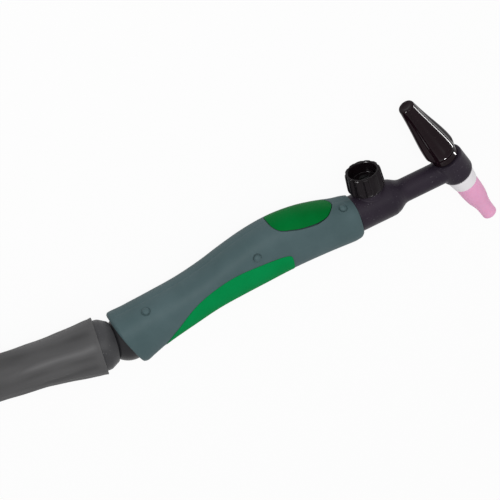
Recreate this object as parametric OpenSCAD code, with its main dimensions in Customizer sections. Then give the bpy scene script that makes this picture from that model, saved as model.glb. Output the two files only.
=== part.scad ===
// Air-cooled TIG welding torch with a gas valve, an ergonomic handle, a ball swivel
// and four metres of cable, lying on its right side. +X runs along the handle towards
// the head, +Y towards the back cap and +Z up, with the surface it lies on at Z = 0.

/* [Head] */
// Lean of the nozzle's axis from square to the neck, in degrees
head_lean = 20; // [15:1:25]
// Diameter of the head's barrel
head_d = 25.5; // [25:0.5:27]
// Height of the barrel above the neck's axis
head_up = 12; // [11:0.5:13]
// Depth of the barrel below the neck's axis
head_down = 9.2; // [9.2:0.2:11]
// Diameter of the brass core in the head
core_d = 16; // [15:0.5:17]
// Bore of the core
core_bore_d = 10.1; // [10:0.1:10.6]
// Diameter of the neck
neck_d = 18.2; // [17:0.2:19]
// Diameter of the copper tube in the neck
tube_d = 9.5; // [8:0.5:10]
// Bore of the copper tube
tube_bore_d = 6; // [5:0.5:7]

/* [Nozzle] */
// Length of the nozzle outside the gasket
nozzle_out = 40; // [34:1:46]
// Length of the nozzle inside the gasket
nozzle_in = 8; // [7:1:9]
// Diameter of the nozzle at the gasket
nozzle_base_d = 18.6; // [18:0.2:19.4]
// Diameter of the nozzle at its mouth
nozzle_tip_d = 11.6; // [11:0.2:13]
// Bore of the nozzle's mouth
mouth_bore_d = 8; // [7:0.5:8.5]
// Bore of the nozzle over the collet body
nozzle_bore_d = 12.1; // [12:0.1:12.6]
// Length of the gasket
gasket_h = 10.4; // [10:0.2:12]
// Diameter of the gasket at the head
gasket_d = 21.8; // [21:0.2:23]

/* [Electrode] */
// Diameter of the electrode
electrode_d = 2.4; // [1.6:0.4:3.2]
// Distance of the electrode's tip inside the nozzle's mouth
electrode_back = 7; // [6.5:0.5:9]
// Length of the electrode
electrode_len = 105; // [95:1:110]
// Diameter of the collet
collet_d = 5.2; // [4.8:0.2:5.4]
// Length of the collet
collet_len = 50; // [48:1:51]

/* [Back cap] */
// Height of the back cap above the head
cap_h = 60; // [56:1:70]
// Diameter of the cap's top
cap_top_d = 12.2; // [11:0.2:13]
// Diameter of the cap's round foot
cap_foot_d = 20.8; // [20:0.2:22]
// Diameter of the cap at its widest
cap_lobe_d = 25.4; // [24:0.2:27]
// Number of flutes along the cap
cap_flutes = 6; // [4:1:8]
// Depth of the flutes at their foot
cap_flute_depth = 2.4; // [1.6:0.2:2.6]
// Turn of the flutes about the cap's axis, in degrees
cap_turn = 40; // [0:5:55]
// Diameter of the cap's threaded shank
shank_d = 10; // [9.6:0.1:10]

/* [Valve] */
// Distance of the valve's axis behind the head's axis
valve_x = 69.5; // [68:0.5:71]
// Diameter of the valve housing
housing_d = 28.5; // [28:0.5:30]
// Distance behind the head's axis at which the neck starts to widen
neck_end = 43; // [41:1:45]
// Length over which the neck widens to the housing
shoulder_len = 12; // [10:1:12]
// Diameter of the gas knob at its skirt
knob_d = 28.4; // [26:0.2:28.6]
// Diameter of the gas knob at its top
knob_top_d = 25.4; // [24:0.2:26]
// Height of the gas knob
knob_h = 17.4; // [16:0.2:19]
// Number of flutes round the knob
knob_flutes = 12; // [8:1:14]
// Diameter of each flute
flute_d = 5; // [4:0.5:5.5]
// Depth of the recess in the knob's top
knob_recess = 9; // [8:0.5:9.5]
// Diameter of the recess in the knob's top
knob_recess_d = 20.2; // [18:0.2:20.4]
// Diameter of the valve stem's thread
stem_d = 6.8; // [6:0.2:7]
// Height of the stem's travel when the valve opens
valve_lift = 1.5; // [1:0.1:1.6]

/* [Handle] */
// Distance of the handle's front face behind the head's axis
handle_front = 84.5; // [84:0.5:85]
// Wall of the handle shells
wall = 3; // [2.6:0.1:3.2]
// Depth of the recess that each grip pad fills
pad_depth = 1.4; // [1:0.1:1.6]
// Height of the grip pads above the shells
pad_proud = 0.3; // [0:0.1:0.6]
// Diameter of the shell screws
screw_d = 3; // [2.5:0.5:3]
// Diameter of the shell screws' heads
screw_head_d = 6; // [5:0.5:6]
// Height of the raised dots on the shells' shoulders
dot_h = 0.8; // [0.5:0.1:1]

/* [Button] */
// Distance of the button's pivot behind the head's axis
pivot_x = 146; // [145:0.5:147]
// Height of the button's pivot above the neck's axis
pivot_y = 21; // [20.5:0.5:21.5]
// Diameter of the pivot pin
pin_d = 3; // [2.5:0.5:3]
// Angle through which the button is pressed, in degrees
press_angle = 1.2; // [0.8:0.2:1.6]
// Gap round the button
button_gap = 0.4; // [0.4:0.1:0.6]
// Length, height and width of the microswitch
switch_size = [20, 9, 6.4];

/* [Swivel and cuff] */
// Diameter of the swivel ball
ball_d = 35; // [34:0.5:35]
// Bore of the ball for the cable
ball_bore_d = 17; // [16.5:0.5:17.5]
// Diameter of the ball's tail
tail_d = 20.5; // [20:0.5:21]
// Angle between the cable and the handle at rest, in degrees
cable_bend = 9.5; // [8:0.5:10]
// Diameter of the cuff
cuff_d = 38; // [37:0.5:38]
// Diameter of the cuff's front face
cuff_front_d = 31.2; // [30:0.2:31.6]
// Distance of the cuff's front face behind the ball's centre
cuff_start = 12; // [12:0.1:13]

/* [Cable] */
// Diameter of the cable cover
cover_d = 34; // [32:1:34]
// Diameter of the cover's flared mouth
mouth_d = 43; // [42:1:43]
// Diameter of the power and gas cable
cable_d = 16; // [14:1:16]
// Diameter of the current plug's pin
plug_pin_d = 13; // [9:1:13]
// Diameter of the plug's grip
plug_d = 30; // [28:1:30]

/* [Fits] */
// Gap between fixed pieces that sit in each other
seat = 0.05; // [0.03:0.01:0.08]
// Radial gap of shafts that turn or slide in bores
running = 0.08; // [0.05:0.01:0.1]
// Radial gap between the swivel ball and its socket
ball_gap = 0.2; // [0.15:0.05:0.25]
// Gap under pieces that turn above a face
face_gap = 0.4; // [0.3:0.1:0.6]

/* [Hidden] */
$fn = 48;
cut = 60; // long enough to cut right through the handle or head
overlap = 0.5; // overlap of shapes that are joined

// Place of the crossing of head axis and neck axis, above the surface
head_x = 150;
head_y = -6;
axis_z = cuff_d / 2;

// Handle outline: distance behind the head's axis, top, bottom and half width
handle_rows = [
    [84.5, 14.6, -15.2, 14.6],
    [86, 15.0, -16.6, 15.4],
    [88, 15.6, -17.1, 15.9],
    [92, 16.7, -17.5, 16.1],
    [96, 17.7, -17.2, 16.3],
    [110, 22.8, -16.1, 16.8],
    [126, 27.0, -15.3, 17.2],
    [145, 29.0, -15.0, 17.2],
    [165, 27.5, -15.6, 17.2],
    [185, 23.2, -16.1, 17.2],
    [205, 17.7, -17.0, 17.3],
    [225, 14.1, -20.2, 17.6],
    [250, 12.3, -25.1, 18.2],
    [262, 11.8, -29.2, 18.6],
    [268, 11.5, -31.4, 18.8],
    [272.5, 11.3, -29.8, 19.0],
    [278, 11.2, -28.0, 19.0],
    [282, 10.4, -27.0, 19.0],
    [285, 8.0, -26.0, 18.4],
    [292, 4.0, -25.0, 17.0],
];
handle_sections = concat([84.5, 86, 88, 92, 96], [for (x = [102:8:254]) x], [262, 268, 273, 278, 282, 285, 292]);
squareness = 2.6; // 2 gives ellipses, more gives squarer sections
arc_steps = 12; // steps round each half section

// Swivel ball and socket
ball_x = 274;
ball_y = -10.2;
socket_r = ball_d / 2 + ball_gap;
socket_neck_r = 13;
rim_top = [283.4, 12]; // rear cut through the shells: distance behind the head, height
rim_bottom = [269.8, -33];
rim_angle = atan((rim_top[0] - rim_bottom[0]) / (rim_top[1] - rim_bottom[1]));

// Inside of the handle's front
spigot_d = 24.8;
spigot_end = 101;
flange_d = 27.2;
flange_x = 90;
flange_w = 3;

// Button outline, as distance behind the head's axis and height above the neck's axis
button_rear = [150, 31];
button_low = [[148.2, 28.4], [145.8, 26.4], [144.2, 24.4], [138.2, 22.5], [131, 20.6], [124.3, 19.5], [116.7, 18.3], [110, 18], [106, 18.4]];
button_front = [102, 18.5];
button_tip = [99.6, 18.4];
button_lug_r = 3;
button_lug_w = 10;
boss_gap = 0.3;

// Grip pad outline on the handle's side, from the front edge over the top to the tail
pad_edge = [[142.8, -1], [143.6, 3.2], [149.4, 5.8], [157, 6.9], [168.5, 8], [182.6, 8.8], [195, 7.9], [204, 6.2], [212, 4.2], [220, 1.4], [229, -3.2], [237.5, -9], [247, -16], [251.5, -20.5]];
pad_floor = -40;

// Switch
switch_x = 113;
switch_y = 7.2;
plunger_size = [3, 2, 2.4];
plunger_x = 118;

// Valve heights above the neck's axis
collar_d = 19;
collar_top = 15.2;
valve_body_d = 14;
valve_floor = -9;
gland_d = 8.2;
gland_floor = 8;
gland_top = 13;
stem_foot = 3.6;
thread_top = 7.6;
shaft_d = 5.8;
groove_d = 4.4;
ring_y = 10.5;
ring_d = 1.6;
spindle_d = 5;
knob_foot = collar_top + face_gap;
knob_top = knob_foot + knob_h;
hub_top = knob_top - knob_recess;
tail_tube_d = 10;
tail_end = 107;

// Heights along the head's axis, up towards the cap
gasket_foot = -head_down - gasket_h;
mouth = gasket_foot - nozzle_out;
cap_foot = head_up + face_gap;
cap_top = cap_foot + cap_h;
core_top = head_up - 2;
body_top = 2;
body_foot = -36;
body_thread_d = nozzle_bore_d - 2 * seat;
collet_foot = -30.5;
shank_foot = body_top + 1.2;
oring_d = 1.8;

// Round things that lie on the head's axis, +Z up that axis
module on_head() translate([head_x, head_y, axis_z]) rotate([0, 0, head_lean]) rotate([-90, 0, 0]) children();

// Round things that lie along the neck and handle, +Z towards the rear
module along_neck(height = 0) translate([head_x, head_y + height, axis_z]) rotate([0, -90, 0]) children();

// Round things on the valve's axis, +Z up that axis
module on_valve() translate([head_x - valve_x, head_y, axis_z]) rotate([-90, 0, 0]) children();

// Flat outlines on the handle's side, drawn as distance behind the head and height
module on_side() translate([head_x, head_y, axis_z]) mirror([1, 0, 0]) children();

// Round things behind the ball's centre, +Z along the cable
module on_ball() translate([head_x - ball_x, head_y + ball_y, axis_z]) rotate([0, 0, -cable_bend]) rotate([0, -90, 0]) children();

// Smooth curve through one column of a table of rows
function row_at(rows, x, i = 0) = i >= len(rows) - 2 || x < rows[i + 1][0] ? i : row_at(rows, x, i + 1);
function slope(rows, k, i) = let (a = max(i - 1, 0), b = min(i + 1, len(rows) - 1))
    (rows[b][k] - rows[a][k]) / (rows[b][0] - rows[a][0]);
function smooth_at(rows, k, x) = let (
    i = row_at(rows, x),
    h = rows[i + 1][0] - rows[i][0],
    s = (x - rows[i][0]) / h,
    m0 = slope(rows, k, i) * h,
    m1 = slope(rows, k, i + 1) * h
) (2 * s ^ 3 - 3 * s ^ 2 + 1) * rows[i][k] + (s ^ 3 - 2 * s ^ 2 + s) * m0
    + (3 * s ^ 2 - 2 * s ^ 3) * rows[i + 1][k] + (s ^ 3 - s ^ 2) * m1;

// A point on a rounded section: mid height, half height, half width and angle
function round_power(v, n) = sign(v) * pow(abs(v), 2 / n);
function section_point(mid, up, side, a, n) = [mid + up * round_power(sin(a), n), side * round_power(cos(a), n)];
function handle_point(x, grow, a) = let (
    top = smooth_at(handle_rows, 1, x),
    bottom = smooth_at(handle_rows, 2, x),
    half = smooth_at(handle_rows, 3, x)
) section_point((top + bottom) / 2, (top - bottom) / 2 + grow, half + grow, a, squareness);

// The hollow of the handle, narrow at its front wall and at the ball's socket
function in_front_wall(x) = x < handle_front + 4 * wall;
function in_socket(x) = x > ball_x - socket_r - wall;
function hollow_point(x, a) = in_front_wall(x) ? section_point(0, spigot_d / 2 - 1, spigot_d / 2 - 1, a, 2)
    : in_socket(x) ? section_point(ball_y, socket_neck_r, socket_neck_r, a, 2)
    : handle_point(x, -wall, a);

// A solid through closed rings of points, whose ends are round or, as an arch, a strip between two arcs
module skin(rings, arch = false) {
    n = len(rings[0]);
    last = len(rings) - 1;
    points = [for (r = rings) for (p = r) p];
    sides = [for (i = [0:last - 1]) for (j = [0:n - 1]) let (a = i * n + j, b = i * n + (j + 1) % n)
        for (f = [[a, a + n, b], [b, a + n, b + n]]) f];
    strip = [for (j = [0:n / 2 - 2]) for (f = [[j, j + 1, n - 1 - j], [j + 1, n - 2 - j, n - 1 - j]]) f];
    disc = [for (j = [1:n - 2]) [0, j, j + 1]];
    end = arch ? strip : disc;
    far_end = [for (f = end) [for (v = [2:-1:0]) last * n + f[v]]];
    polyhedron(points, concat(sides, end, far_end), convexity = 6);
}

// Half sections of the handle between two surfaces, side is 1 for left and -1 for right
half_angles = [for (i = [0:arc_steps]) -90 + 180 * i / arc_steps];
function flip(list, side) = side < 0 ? list : [for (i = [len(list) - 1:-1:0]) list[i]];
module half_loft(xs, side, outer, inner) {
    skin([for (x = xs) flip(concat(
        [for (a = half_angles) let (p = handle_point(x, outer, a)) [x, p[0], side * p[1]]],
        [for (i = [arc_steps:-1:0]) let (p = is_undef(inner) ? hollow_point(x, half_angles[i])
            : handle_point(x, inner, half_angles[i])) [x, p[0], side * p[1]]]
    ), side)], arch = true);
}

module button_outline(gap, sink) {
    low = [for (p = button_low) [p[0], p[1] - gap - sink * (pivot_x - p[0]) / (pivot_x - button_front[0])]];
    rear = [[button_rear[0] + 3 * gap, button_rear[1] + cut], [button_rear[0] + 3 * gap, button_rear[1]]];
    front = [[button_front[0] - gap, button_front[1] - gap - sink], [button_tip[0] - gap, button_tip[1] - gap - sink],
        [button_tip[0] - gap, button_tip[1] + cut]];
    polygon(concat(rear, low, front));
}

module pad_outline() {
    polygon(concat([[pad_edge[0][0], pad_floor]], pad_edge, [[pad_edge[len(pad_edge) - 1][0], pad_floor]]));
}

// Where the shell screws run across the handle: distance behind the head and height
screw_spots = [[122, -10], [166, 17], [238, 0]];
screw_reach = [8.4, 13, 14];
dot_spots = [[93.8, 66], [168.9, 24], [256.4, 66]]; // distance behind the head and angle up the section
dot_r = 4;

module shell_bosses(side) {
    for (i = [0:len(screw_spots) - 1]) {
        translate([screw_spots[i][0], screw_spots[i][1], side > 0 ? 0 : -screw_reach[i]])
            cylinder(d = screw_head_d + 2, h = screw_reach[i]);
    }
    translate([pivot_x, pivot_y, side > 0 ? button_lug_w / 2 + boss_gap : -13.5])
        cylinder(r = button_lug_r, h = 13.5 - button_lug_w / 2 - boss_gap);
    translate([switch_x + switch_size[0] / 2 - 4, switch_y - 3, side > 0 ? switch_size[2] / 2 + seat : -15])
        cube([8, 6, 15 - switch_size[2] / 2 - seat]);
}

module shell_dots(side) {
    for (d = dot_spots) {
        p = handle_point(d[0], dot_h - dot_r, d[1]);
        translate([d[0], p[0], side * p[1]]) sphere(r = dot_r);
    }
}

module shell(side) {
    on_side() difference() {
        union() {
            half_loft(handle_sections, side, 0);
            shell_bosses(side);
            shell_dots(side);
        }
        // recess of the grip pad
        intersection() {
            half_loft([for (x = [134:10:254]) x], side, 2, -pad_depth);
            translate([0, 0, -cut / 2]) linear_extrude(cut) pad_outline();
        }
        // opening for the button, deep enough at the front for its travel
        translate([0, 0, -cut / 2]) linear_extrude(cut)
            button_outline(button_gap, sin(press_angle) * (pivot_x - button_front[0]));
        // seat of the torch body's spigot
        translate([handle_front - 1, 0, 0]) rotate([0, 90, 0]) cylinder(d = spigot_d + 2 * seat, h = spigot_end + 1 - handle_front);
        translate([flange_x - seat, 0, 0]) rotate([0, 90, 0]) cylinder(d = flange_d + 2 * seat, h = flange_w + 2 * seat);
        // socket and oblique rear rim
        translate([ball_x, ball_y, 0]) sphere(r = socket_r, $fn = 96);
        translate([rim_top[0], rim_top[1], 0]) rotate([0, 0, -rim_angle]) translate([0, -2 * cut, -cut / 2]) cube([cut, 3 * cut, cut]);
        // bores for the screws and the pivot pin
        for (i = [0:len(screw_spots) - 1]) {
            translate([screw_spots[i][0], screw_spots[i][1], -cut / 2]) cylinder(d = screw_d + 2 * seat, h = cut / 2 + 8);
            translate([screw_spots[i][0], screw_spots[i][1], -cut / 2]) cylinder(d = screw_head_d + 2 * seat, h = cut / 2 - 5);
        }
        translate([pivot_x, pivot_y, -9.5]) cylinder(d = pin_d + 2 * seat, h = 19);
    }
}

module handle_left() {
    color([0.30, 0.37, 0.39]) shell(1);
}

module handle_right() {
    color([0.30, 0.37, 0.39]) shell(-1);
}

module grip_pad(side) {
    on_side() intersection() {
        half_loft([for (x = [134:10:254]) x], side, pad_proud, seat - pad_depth);
        translate([0, 0, -cut / 2]) linear_extrude(cut) offset(delta = -seat) pad_outline();
    }
}

module grip_pad_left() {
    color([0.0, 0.50, 0.23]) grip_pad(1);
}

module grip_pad_right() {
    color([0.0, 0.50, 0.23]) grip_pad(-1);
}

module handle_screws() {
    color("silver") on_side() for (i = [0:len(screw_spots) - 1]) {
        translate([screw_spots[i][0], screw_spots[i][1], -5]) cylinder(d = screw_d, h = 12.5);
        translate([screw_spots[i][0], screw_spots[i][1], -8]) difference() {
            cylinder(d = screw_head_d, h = 3);
            translate([0, 0, -1]) cylinder(d = 2.5, h = 2.5, $fn = 6);
        }
    }
}

module trigger() {
    full = [for (i = [0:2 * arc_steps - 1]) -180 * i / arc_steps];
    color([0.0, 0.52, 0.24]) on_side() difference() {
        union() {
            intersection() {
                skin([for (x = [98:8:154]) [for (a = full) let (p = handle_point(x, 0, a)) [x, p[0], p[1]]]]);
                translate([0, 0, -cut / 2]) linear_extrude(cut) button_outline(0, 0);
            }
            translate([pivot_x, pivot_y, -button_lug_w / 2]) cylinder(r = button_lug_r, h = button_lug_w);
            translate([pivot_x - 3, pivot_y, -button_lug_w / 2]) cube([2.2, 4.6, button_lug_w]);
        }
        translate([pivot_x, pivot_y, -button_lug_w]) cylinder(d = pin_d + 2 * running, h = 2 * button_lug_w);
    }
}

module trigger_pin() {
    color("silver") on_side() translate([pivot_x, pivot_y, -9.3]) cylinder(d = pin_d, h = 18.6);
}

module microswitch() {
    color([0.12, 0.12, 0.13]) on_side() translate([switch_x, switch_y, -switch_size[2] / 2]) difference() {
        cube(switch_size);
        translate([plunger_x - switch_x - seat, switch_size[1] - 3, (switch_size[2] - plunger_size[2]) / 2 - seat])
            cube([plunger_size[0] + 2 * seat, 4, plunger_size[2] + 2 * seat]);
    }
}

module switch_plunger() {
    color("ivory") on_side() translate([plunger_x, switch_y + switch_size[1] - 1.2, -plunger_size[2] / 2])
        cube([plunger_size[0], plunger_size[1] + 1.2, plunger_size[2]]);
}

// One moulding: head barrel, neck, valve housing and the spigot in the handle
module torch_body() {
    r = neck_d / 2;
    big = housing_d / 2;
    color([0.10, 0.10, 0.11]) difference() {
        union() {
            on_head() rotate_extrude() polygon([
                [0, -head_down], [head_d / 2 - 3.4, -head_down], [head_d / 2 - 2, -head_down + 0.35],
                [head_d / 2 - 0.9, -head_down + 1.2], [head_d / 2 - 0.25, -head_down + 2.4], [head_d / 2, -head_down + 3.6],
                [head_d / 2, head_up - 1], [head_d / 2 - 0.3, head_up - 0.3], [head_d / 2 - 1, head_up], [0, head_up],
            ]);
            along_neck() cylinder(r = r, h = neck_end);
            along_neck() rotate_extrude() polygon([
                [0, neck_end - overlap], [r, neck_end - overlap], [r, neck_end], [r + 0.6, neck_end + shoulder_len * 0.2],
                [r + (big - r) * 0.75, neck_end + shoulder_len * 0.65], [big - 0.4, neck_end + shoulder_len * 0.9],
                [big, neck_end + shoulder_len], [big, handle_front - seat], [spigot_d / 2, handle_front - seat],
                [spigot_d / 2, flange_x], [flange_d / 2, flange_x], [flange_d / 2, flange_x + flange_w],
                [spigot_d / 2, flange_x + flange_w], [spigot_d / 2, spigot_end], [0, spigot_end],
            ]);
            on_valve() cylinder(d = collar_d, h = collar_top);
        }
        on_head() translate([0, 0, -cut]) cylinder(d = core_d + 2 * seat, h = 2 * cut);
        on_head() translate([0, 0, head_up]) cylinder(d = cap_foot_d + 2 * face_gap, h = head_up);
        along_neck() cylinder(d = tube_d + 2 * seat, h = valve_x);
        along_neck() translate([0, 0, valve_x]) cylinder(d = tail_tube_d + 2 * seat, h = cut);
        on_valve() translate([0, 0, valve_floor - seat]) cylinder(d = valve_body_d + 2 * seat, h = cut);
    }
}

module head_core() {
    color("darkgoldenrod") difference() {
        on_head() translate([0, 0, -head_down]) cylinder(d = core_d, h = head_down + core_top);
        on_head() translate([0, 0, -cut]) cylinder(d = core_bore_d, h = 2 * cut);
        along_neck() cylinder(d = tube_d + 2 * seat, h = core_d);
    }
}

module neck_tube() {
    color("peru") difference() {
        along_neck() translate([0, 0, core_bore_d / 2 - 1]) cylinder(d = tube_d, h = valve_x - valve_body_d / 2 - core_bore_d / 2 + 3);
        along_neck() cylinder(d = tube_bore_d, h = valve_x);
        on_head() translate([0, 0, -cut]) cylinder(d = core_bore_d, h = 2 * cut);
    }
}

module valve_body() {
    color("goldenrod") difference() {
        union() {
            on_valve() translate([0, 0, valve_floor]) cylinder(d = valve_body_d, h = gland_top - valve_floor);
            along_neck() translate([0, 0, valve_x]) cylinder(d = tail_tube_d, h = tail_end - valve_x);
        }
        on_valve() cylinder(d = stem_d + 2 * running, h = cut);
        on_valve() translate([0, 0, gland_floor]) cylinder(d = gland_d, h = cut);
        along_neck() translate([0, 0, valve_x - valve_body_d]) cylinder(d = tube_d + 2 * seat, h = valve_body_d - 4.8);
        along_neck() translate([0, 0, valve_x - valve_body_d]) cylinder(d = 3, h = cut + valve_body_d);
    }
}

module valve_stem() {
    color("goldenrod") on_valve() difference() {
        rotate_extrude() polygon([
            [0, 1.6], [1.2, 1.6], [stem_d / 2 - 0.4, stem_foot], [stem_d / 2, stem_foot + 0.4], [stem_d / 2, thread_top], [shaft_d / 2, thread_top],
            [shaft_d / 2, ring_y - ring_d / 2 - 0.1], [groove_d / 2, ring_y - ring_d / 2 - 0.1],
            [groove_d / 2, ring_y + ring_d / 2 + 0.1], [shaft_d / 2, ring_y + ring_d / 2 + 0.1], [shaft_d / 2, gland_top],
            [spindle_d / 2, gland_top], [spindle_d / 2, hub_top - seat], [0, hub_top - seat],
        ]);
        translate([0, 0, hub_top - 7]) cylinder(d = 2.6, h = cut);
    }
}

module valve_o_ring() {
    color([0.08, 0.08, 0.08]) on_valve() rotate_extrude() translate([(gland_d + groove_d) / 4, ring_y]) circle(d = ring_d);
}

flute_cut = 1.4; // how deep a flute goes
module valve_knob() {
    r = knob_d / 2;
    top = knob_top_d / 2;
    lean = atan((r - top) / (knob_h - 4));
    color([0.09, 0.09, 0.10]) on_valve() difference() {
        rotate_extrude() polygon([
            [spindle_d / 2 + seat, knob_foot], [r - 4.2, knob_foot], [r - 2, knob_foot + 0.6], [r - 0.6, knob_foot + 2.2],
            [r, knob_foot + 4], [top, knob_top - 1.4], [top - 0.4, knob_top - 0.4], [top - 1.2, knob_top],
            [knob_recess_d / 2 + 0.6, knob_top], [knob_recess_d / 2, knob_top - 0.7], [knob_recess_d / 2 - 0.4, hub_top],
            [spindle_d / 2 + seat, hub_top],
        ]);
        for (i = [0:knob_flutes - 1]) {
            rotate([0, 0, 360 * i / knob_flutes]) translate([r + flute_d / 2 - flute_cut, 0, knob_foot + 3]) rotate([0, -lean, 0])
                translate([0, 0, -10]) cylinder(d = flute_d, h = knob_h + 5);
        }
    }
}

module knob_screw() {
    color("silver") on_valve() difference() {
        union() {
            translate([0, 0, hub_top + seat]) cylinder(d = 7.4, h = 2.4);
            translate([0, 0, hub_top - 6.5]) cylinder(d = 2.5, h = 6.5 + overlap);
        }
        translate([-cut / 2, -0.5, hub_top + 1.6]) cube([cut, 1, 2]);
    }
}

module cup_gasket() {
    color("white") on_head() rotate_extrude() polygon([
        [core_bore_d / 2 + seat, -head_down - seat], [gasket_d / 2, -head_down - seat], [gasket_d / 2, -head_down - 2],
        [gasket_d / 2 - 0.4, -head_down - 5], [nozzle_base_d / 2 + 0.6, gasket_foot + 0.8], [nozzle_base_d / 2 + 0.2, gasket_foot],
        [nozzle_base_d / 2 - 1.4, gasket_foot], [nozzle_base_d / 2 - 1.4, gasket_foot + nozzle_in + seat],
        [core_bore_d / 2 + seat, gasket_foot + nozzle_in + seat],
    ]);
}

mouth_wall = 6.4; // the bore's straight stretch, short of the electrode's tip
module nozzle() {
    base = nozzle_base_d / 2;
    tip = nozzle_tip_d / 2;
    shank = base - 1.4 - seat;
    bore = nozzle_bore_d / 2;
    color([0.88, 0.60, 0.75]) on_head() rotate_extrude() polygon([
        [shank, gasket_foot + nozzle_in], [shank, gasket_foot - seat], [base, gasket_foot - seat],
        [base, gasket_foot - nozzle_out * 0.1], [base - 0.2, gasket_foot - nozzle_out * 0.25], [base - 0.6, gasket_foot - nozzle_out * 0.38],
        [base - 1.3, gasket_foot - nozzle_out * 0.5], [base - 2.3, gasket_foot - nozzle_out * 0.59],
        [tip + 0.5, gasket_foot - nozzle_out * 0.68], [tip + 0.15, gasket_foot - nozzle_out * 0.76], [tip, gasket_foot - nozzle_out * 0.85],
        [tip, mouth + 0.5], [tip - 0.5, mouth], [mouth_bore_d / 2 + 0.3, mouth], [mouth_bore_d / 2, mouth + 0.3],
        [mouth_bore_d / 2, mouth + mouth_wall], [bore, mouth + nozzle_out * 0.6], [bore, gasket_foot + nozzle_in],
    ]);
}

module collet_body() {
    shank = core_bore_d / 2 - seat;
    color("peru") on_head() difference() {
        rotate_extrude() polygon([
            [collet_d / 2 + seat, body_top], [shank, body_top], [shank, gasket_foot + nozzle_in - 0.2],
            [body_thread_d / 2, gasket_foot + nozzle_in - 0.2], [body_thread_d / 2, gasket_foot - 1],
            [4.7, gasket_foot - 1.6], [4.7, body_foot + 5], [3, body_foot], [electrode_d / 2 + running, body_foot],
            [electrode_d / 2 + running, collet_foot - 1.2], [collet_d / 2 + seat, collet_foot + 0.2],
        ]);
        for (a = [0:90:270]) {
            rotate([0, 0, a]) translate([0, 0, gasket_foot - 5]) rotate([0, 90, 0]) cylinder(d = 1.6, h = cut);
        }
    }
}

module collet() {
    color("peru") on_head() difference() {
        rotate_extrude() polygon([
            [electrode_d / 2 + running, collet_foot + 0.2], [collet_d / 2 - 0.6, collet_foot + 0.2], [collet_d / 2, collet_foot + 1.6],
            [collet_d / 2, collet_foot + collet_len], [electrode_d / 2 + running, collet_foot + collet_len],
        ]);
        translate([-0.25, -cut / 2, collet_foot - 1]) cube([0.5, cut, 20]);
    }
}

module electrode() {
    tip = mouth + electrode_back;
    color("gray") on_head() rotate_extrude() polygon([
        [0, tip], [0.2, tip], [electrode_d / 2, tip + 2.5 * electrode_d], [electrode_d / 2, tip + electrode_len], [0, tip + electrode_len],
    ]);
}

// Radius of the back cap at a share of its height and an angle
function ease(t) = let (s = min(max(t, 0), 1)) s * s * (3 - 2 * s);
function cap_width(k) = (cap_top_d + (cap_lobe_d - cap_top_d) * k) / 2;
cap_rows = [
    [0, cap_foot_d / 2], [0.08, cap_foot_d / 2], [0.1, cap_foot_d / 2 + 0.5], [0.135, cap_width(0.93)], [0.18, cap_width(1)],
    [0.325, cap_width(0.9)], [0.51, cap_width(0.65)], [0.62, cap_width(0.48)], [0.8, cap_width(0.23)], [0.91, cap_width(0.1)],
    [1, cap_width(0)],
];
function cap_groove(t) = cap_flute_depth * ease((t - 0.1) / 0.1) * pow(max(1 - (t - 0.1) / 0.9, 0), 0.8);
function cap_r(t, a) = smooth_at(cap_rows, 1, t) - cap_groove(t) * pow(max(0.5 + 0.5 * cos(cap_flutes * (a - cap_turn)), 0), 1.4);
cap_steps = [0, 0.08, 0.1, 0.135, 0.18, 0.25, 0.325, 0.42, 0.52, 0.62, 0.72, 0.82, 0.91, 0.98];

module back_cap() {
    color([0.08, 0.08, 0.09]) on_head() difference() {
        union() {
            skin(concat(
                [for (t = cap_steps) [for (a = [0:5:355]) let (r = cap_r(t, a)) [r * cos(a), r * sin(a), cap_foot + t * cap_h]]],
                [[for (a = [0:5:355]) let (r = cap_top_d / 2 - 0.8) [r * cos(a), r * sin(a), cap_top]]]
            ));
            translate([0, 0, shank_foot]) cylinder(d = shank_d, h = cap_foot - shank_foot + overlap);
        }
        translate([0, 0, shank_foot - 1]) cylinder(d = collet_d + 2 * running, h = collet_foot + collet_len + 1.3 - shank_foot);
        translate([0, 0, shank_foot]) cylinder(d = electrode_d + 4 * running, h = cap_top - 5 - shank_foot);
    }
}

module back_cap_o_ring() {
    color([0.08, 0.08, 0.08]) on_head() rotate_extrude() translate([shank_d / 2 + running + oring_d / 2, core_top + oring_d / 2 + 0.1]) circle(d = oring_d);
}

module hose_fitting() {
    color("goldenrod") along_neck() difference() {
        union() {
            translate([0, 0, spigot_end + seat]) cylinder(d = 17, h = 7, $fn = 6);
            translate([0, 0, spigot_end + 7]) cylinder(d = 6, h = 16);
        }
        translate([0, 0, spigot_end - 1]) cylinder(d = tail_tube_d + 2 * seat, h = tail_end + 1.2 - spigot_end);
        translate([0, 0, spigot_end]) cylinder(d = 4, h = cut);
    }
}

// Hose in the handle, from the fitting down to the ball
hose_d = 10;
hose_points = [[111, 0], [119, 0], [130, -0.6], [150, -2.4], [180, -5], [210, -7.6], [235, -9.4], [250, -10.2], [257, -10.2]];
module inner_hose() {
    sides = 12;
    bore = 6 + 2 * seat;
    color([0.10, 0.10, 0.10]) on_side() difference() {
        skin([for (p = hose_points) [for (i = [0:sides - 1]) let (a = 360 * i / sides)
            [p[0], p[1] + hose_d / 2 * cos(a), hose_d / 2 * sin(a)]]]);
        translate([hose_points[0][0] - 1, 0, 0]) rotate([0, 90, 0]) cylinder(d = bore, h = 14.2);
    }
}

module crimp_ferrule() {
    color("silver") along_neck() translate([0, 0, hose_points[0][0] + 0.5]) difference() {
        cylinder(d = hose_d + 2, h = 7);
        translate([0, 0, -1]) cylinder(d = hose_d + 2 * seat, h = 9);
    }
}

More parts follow.
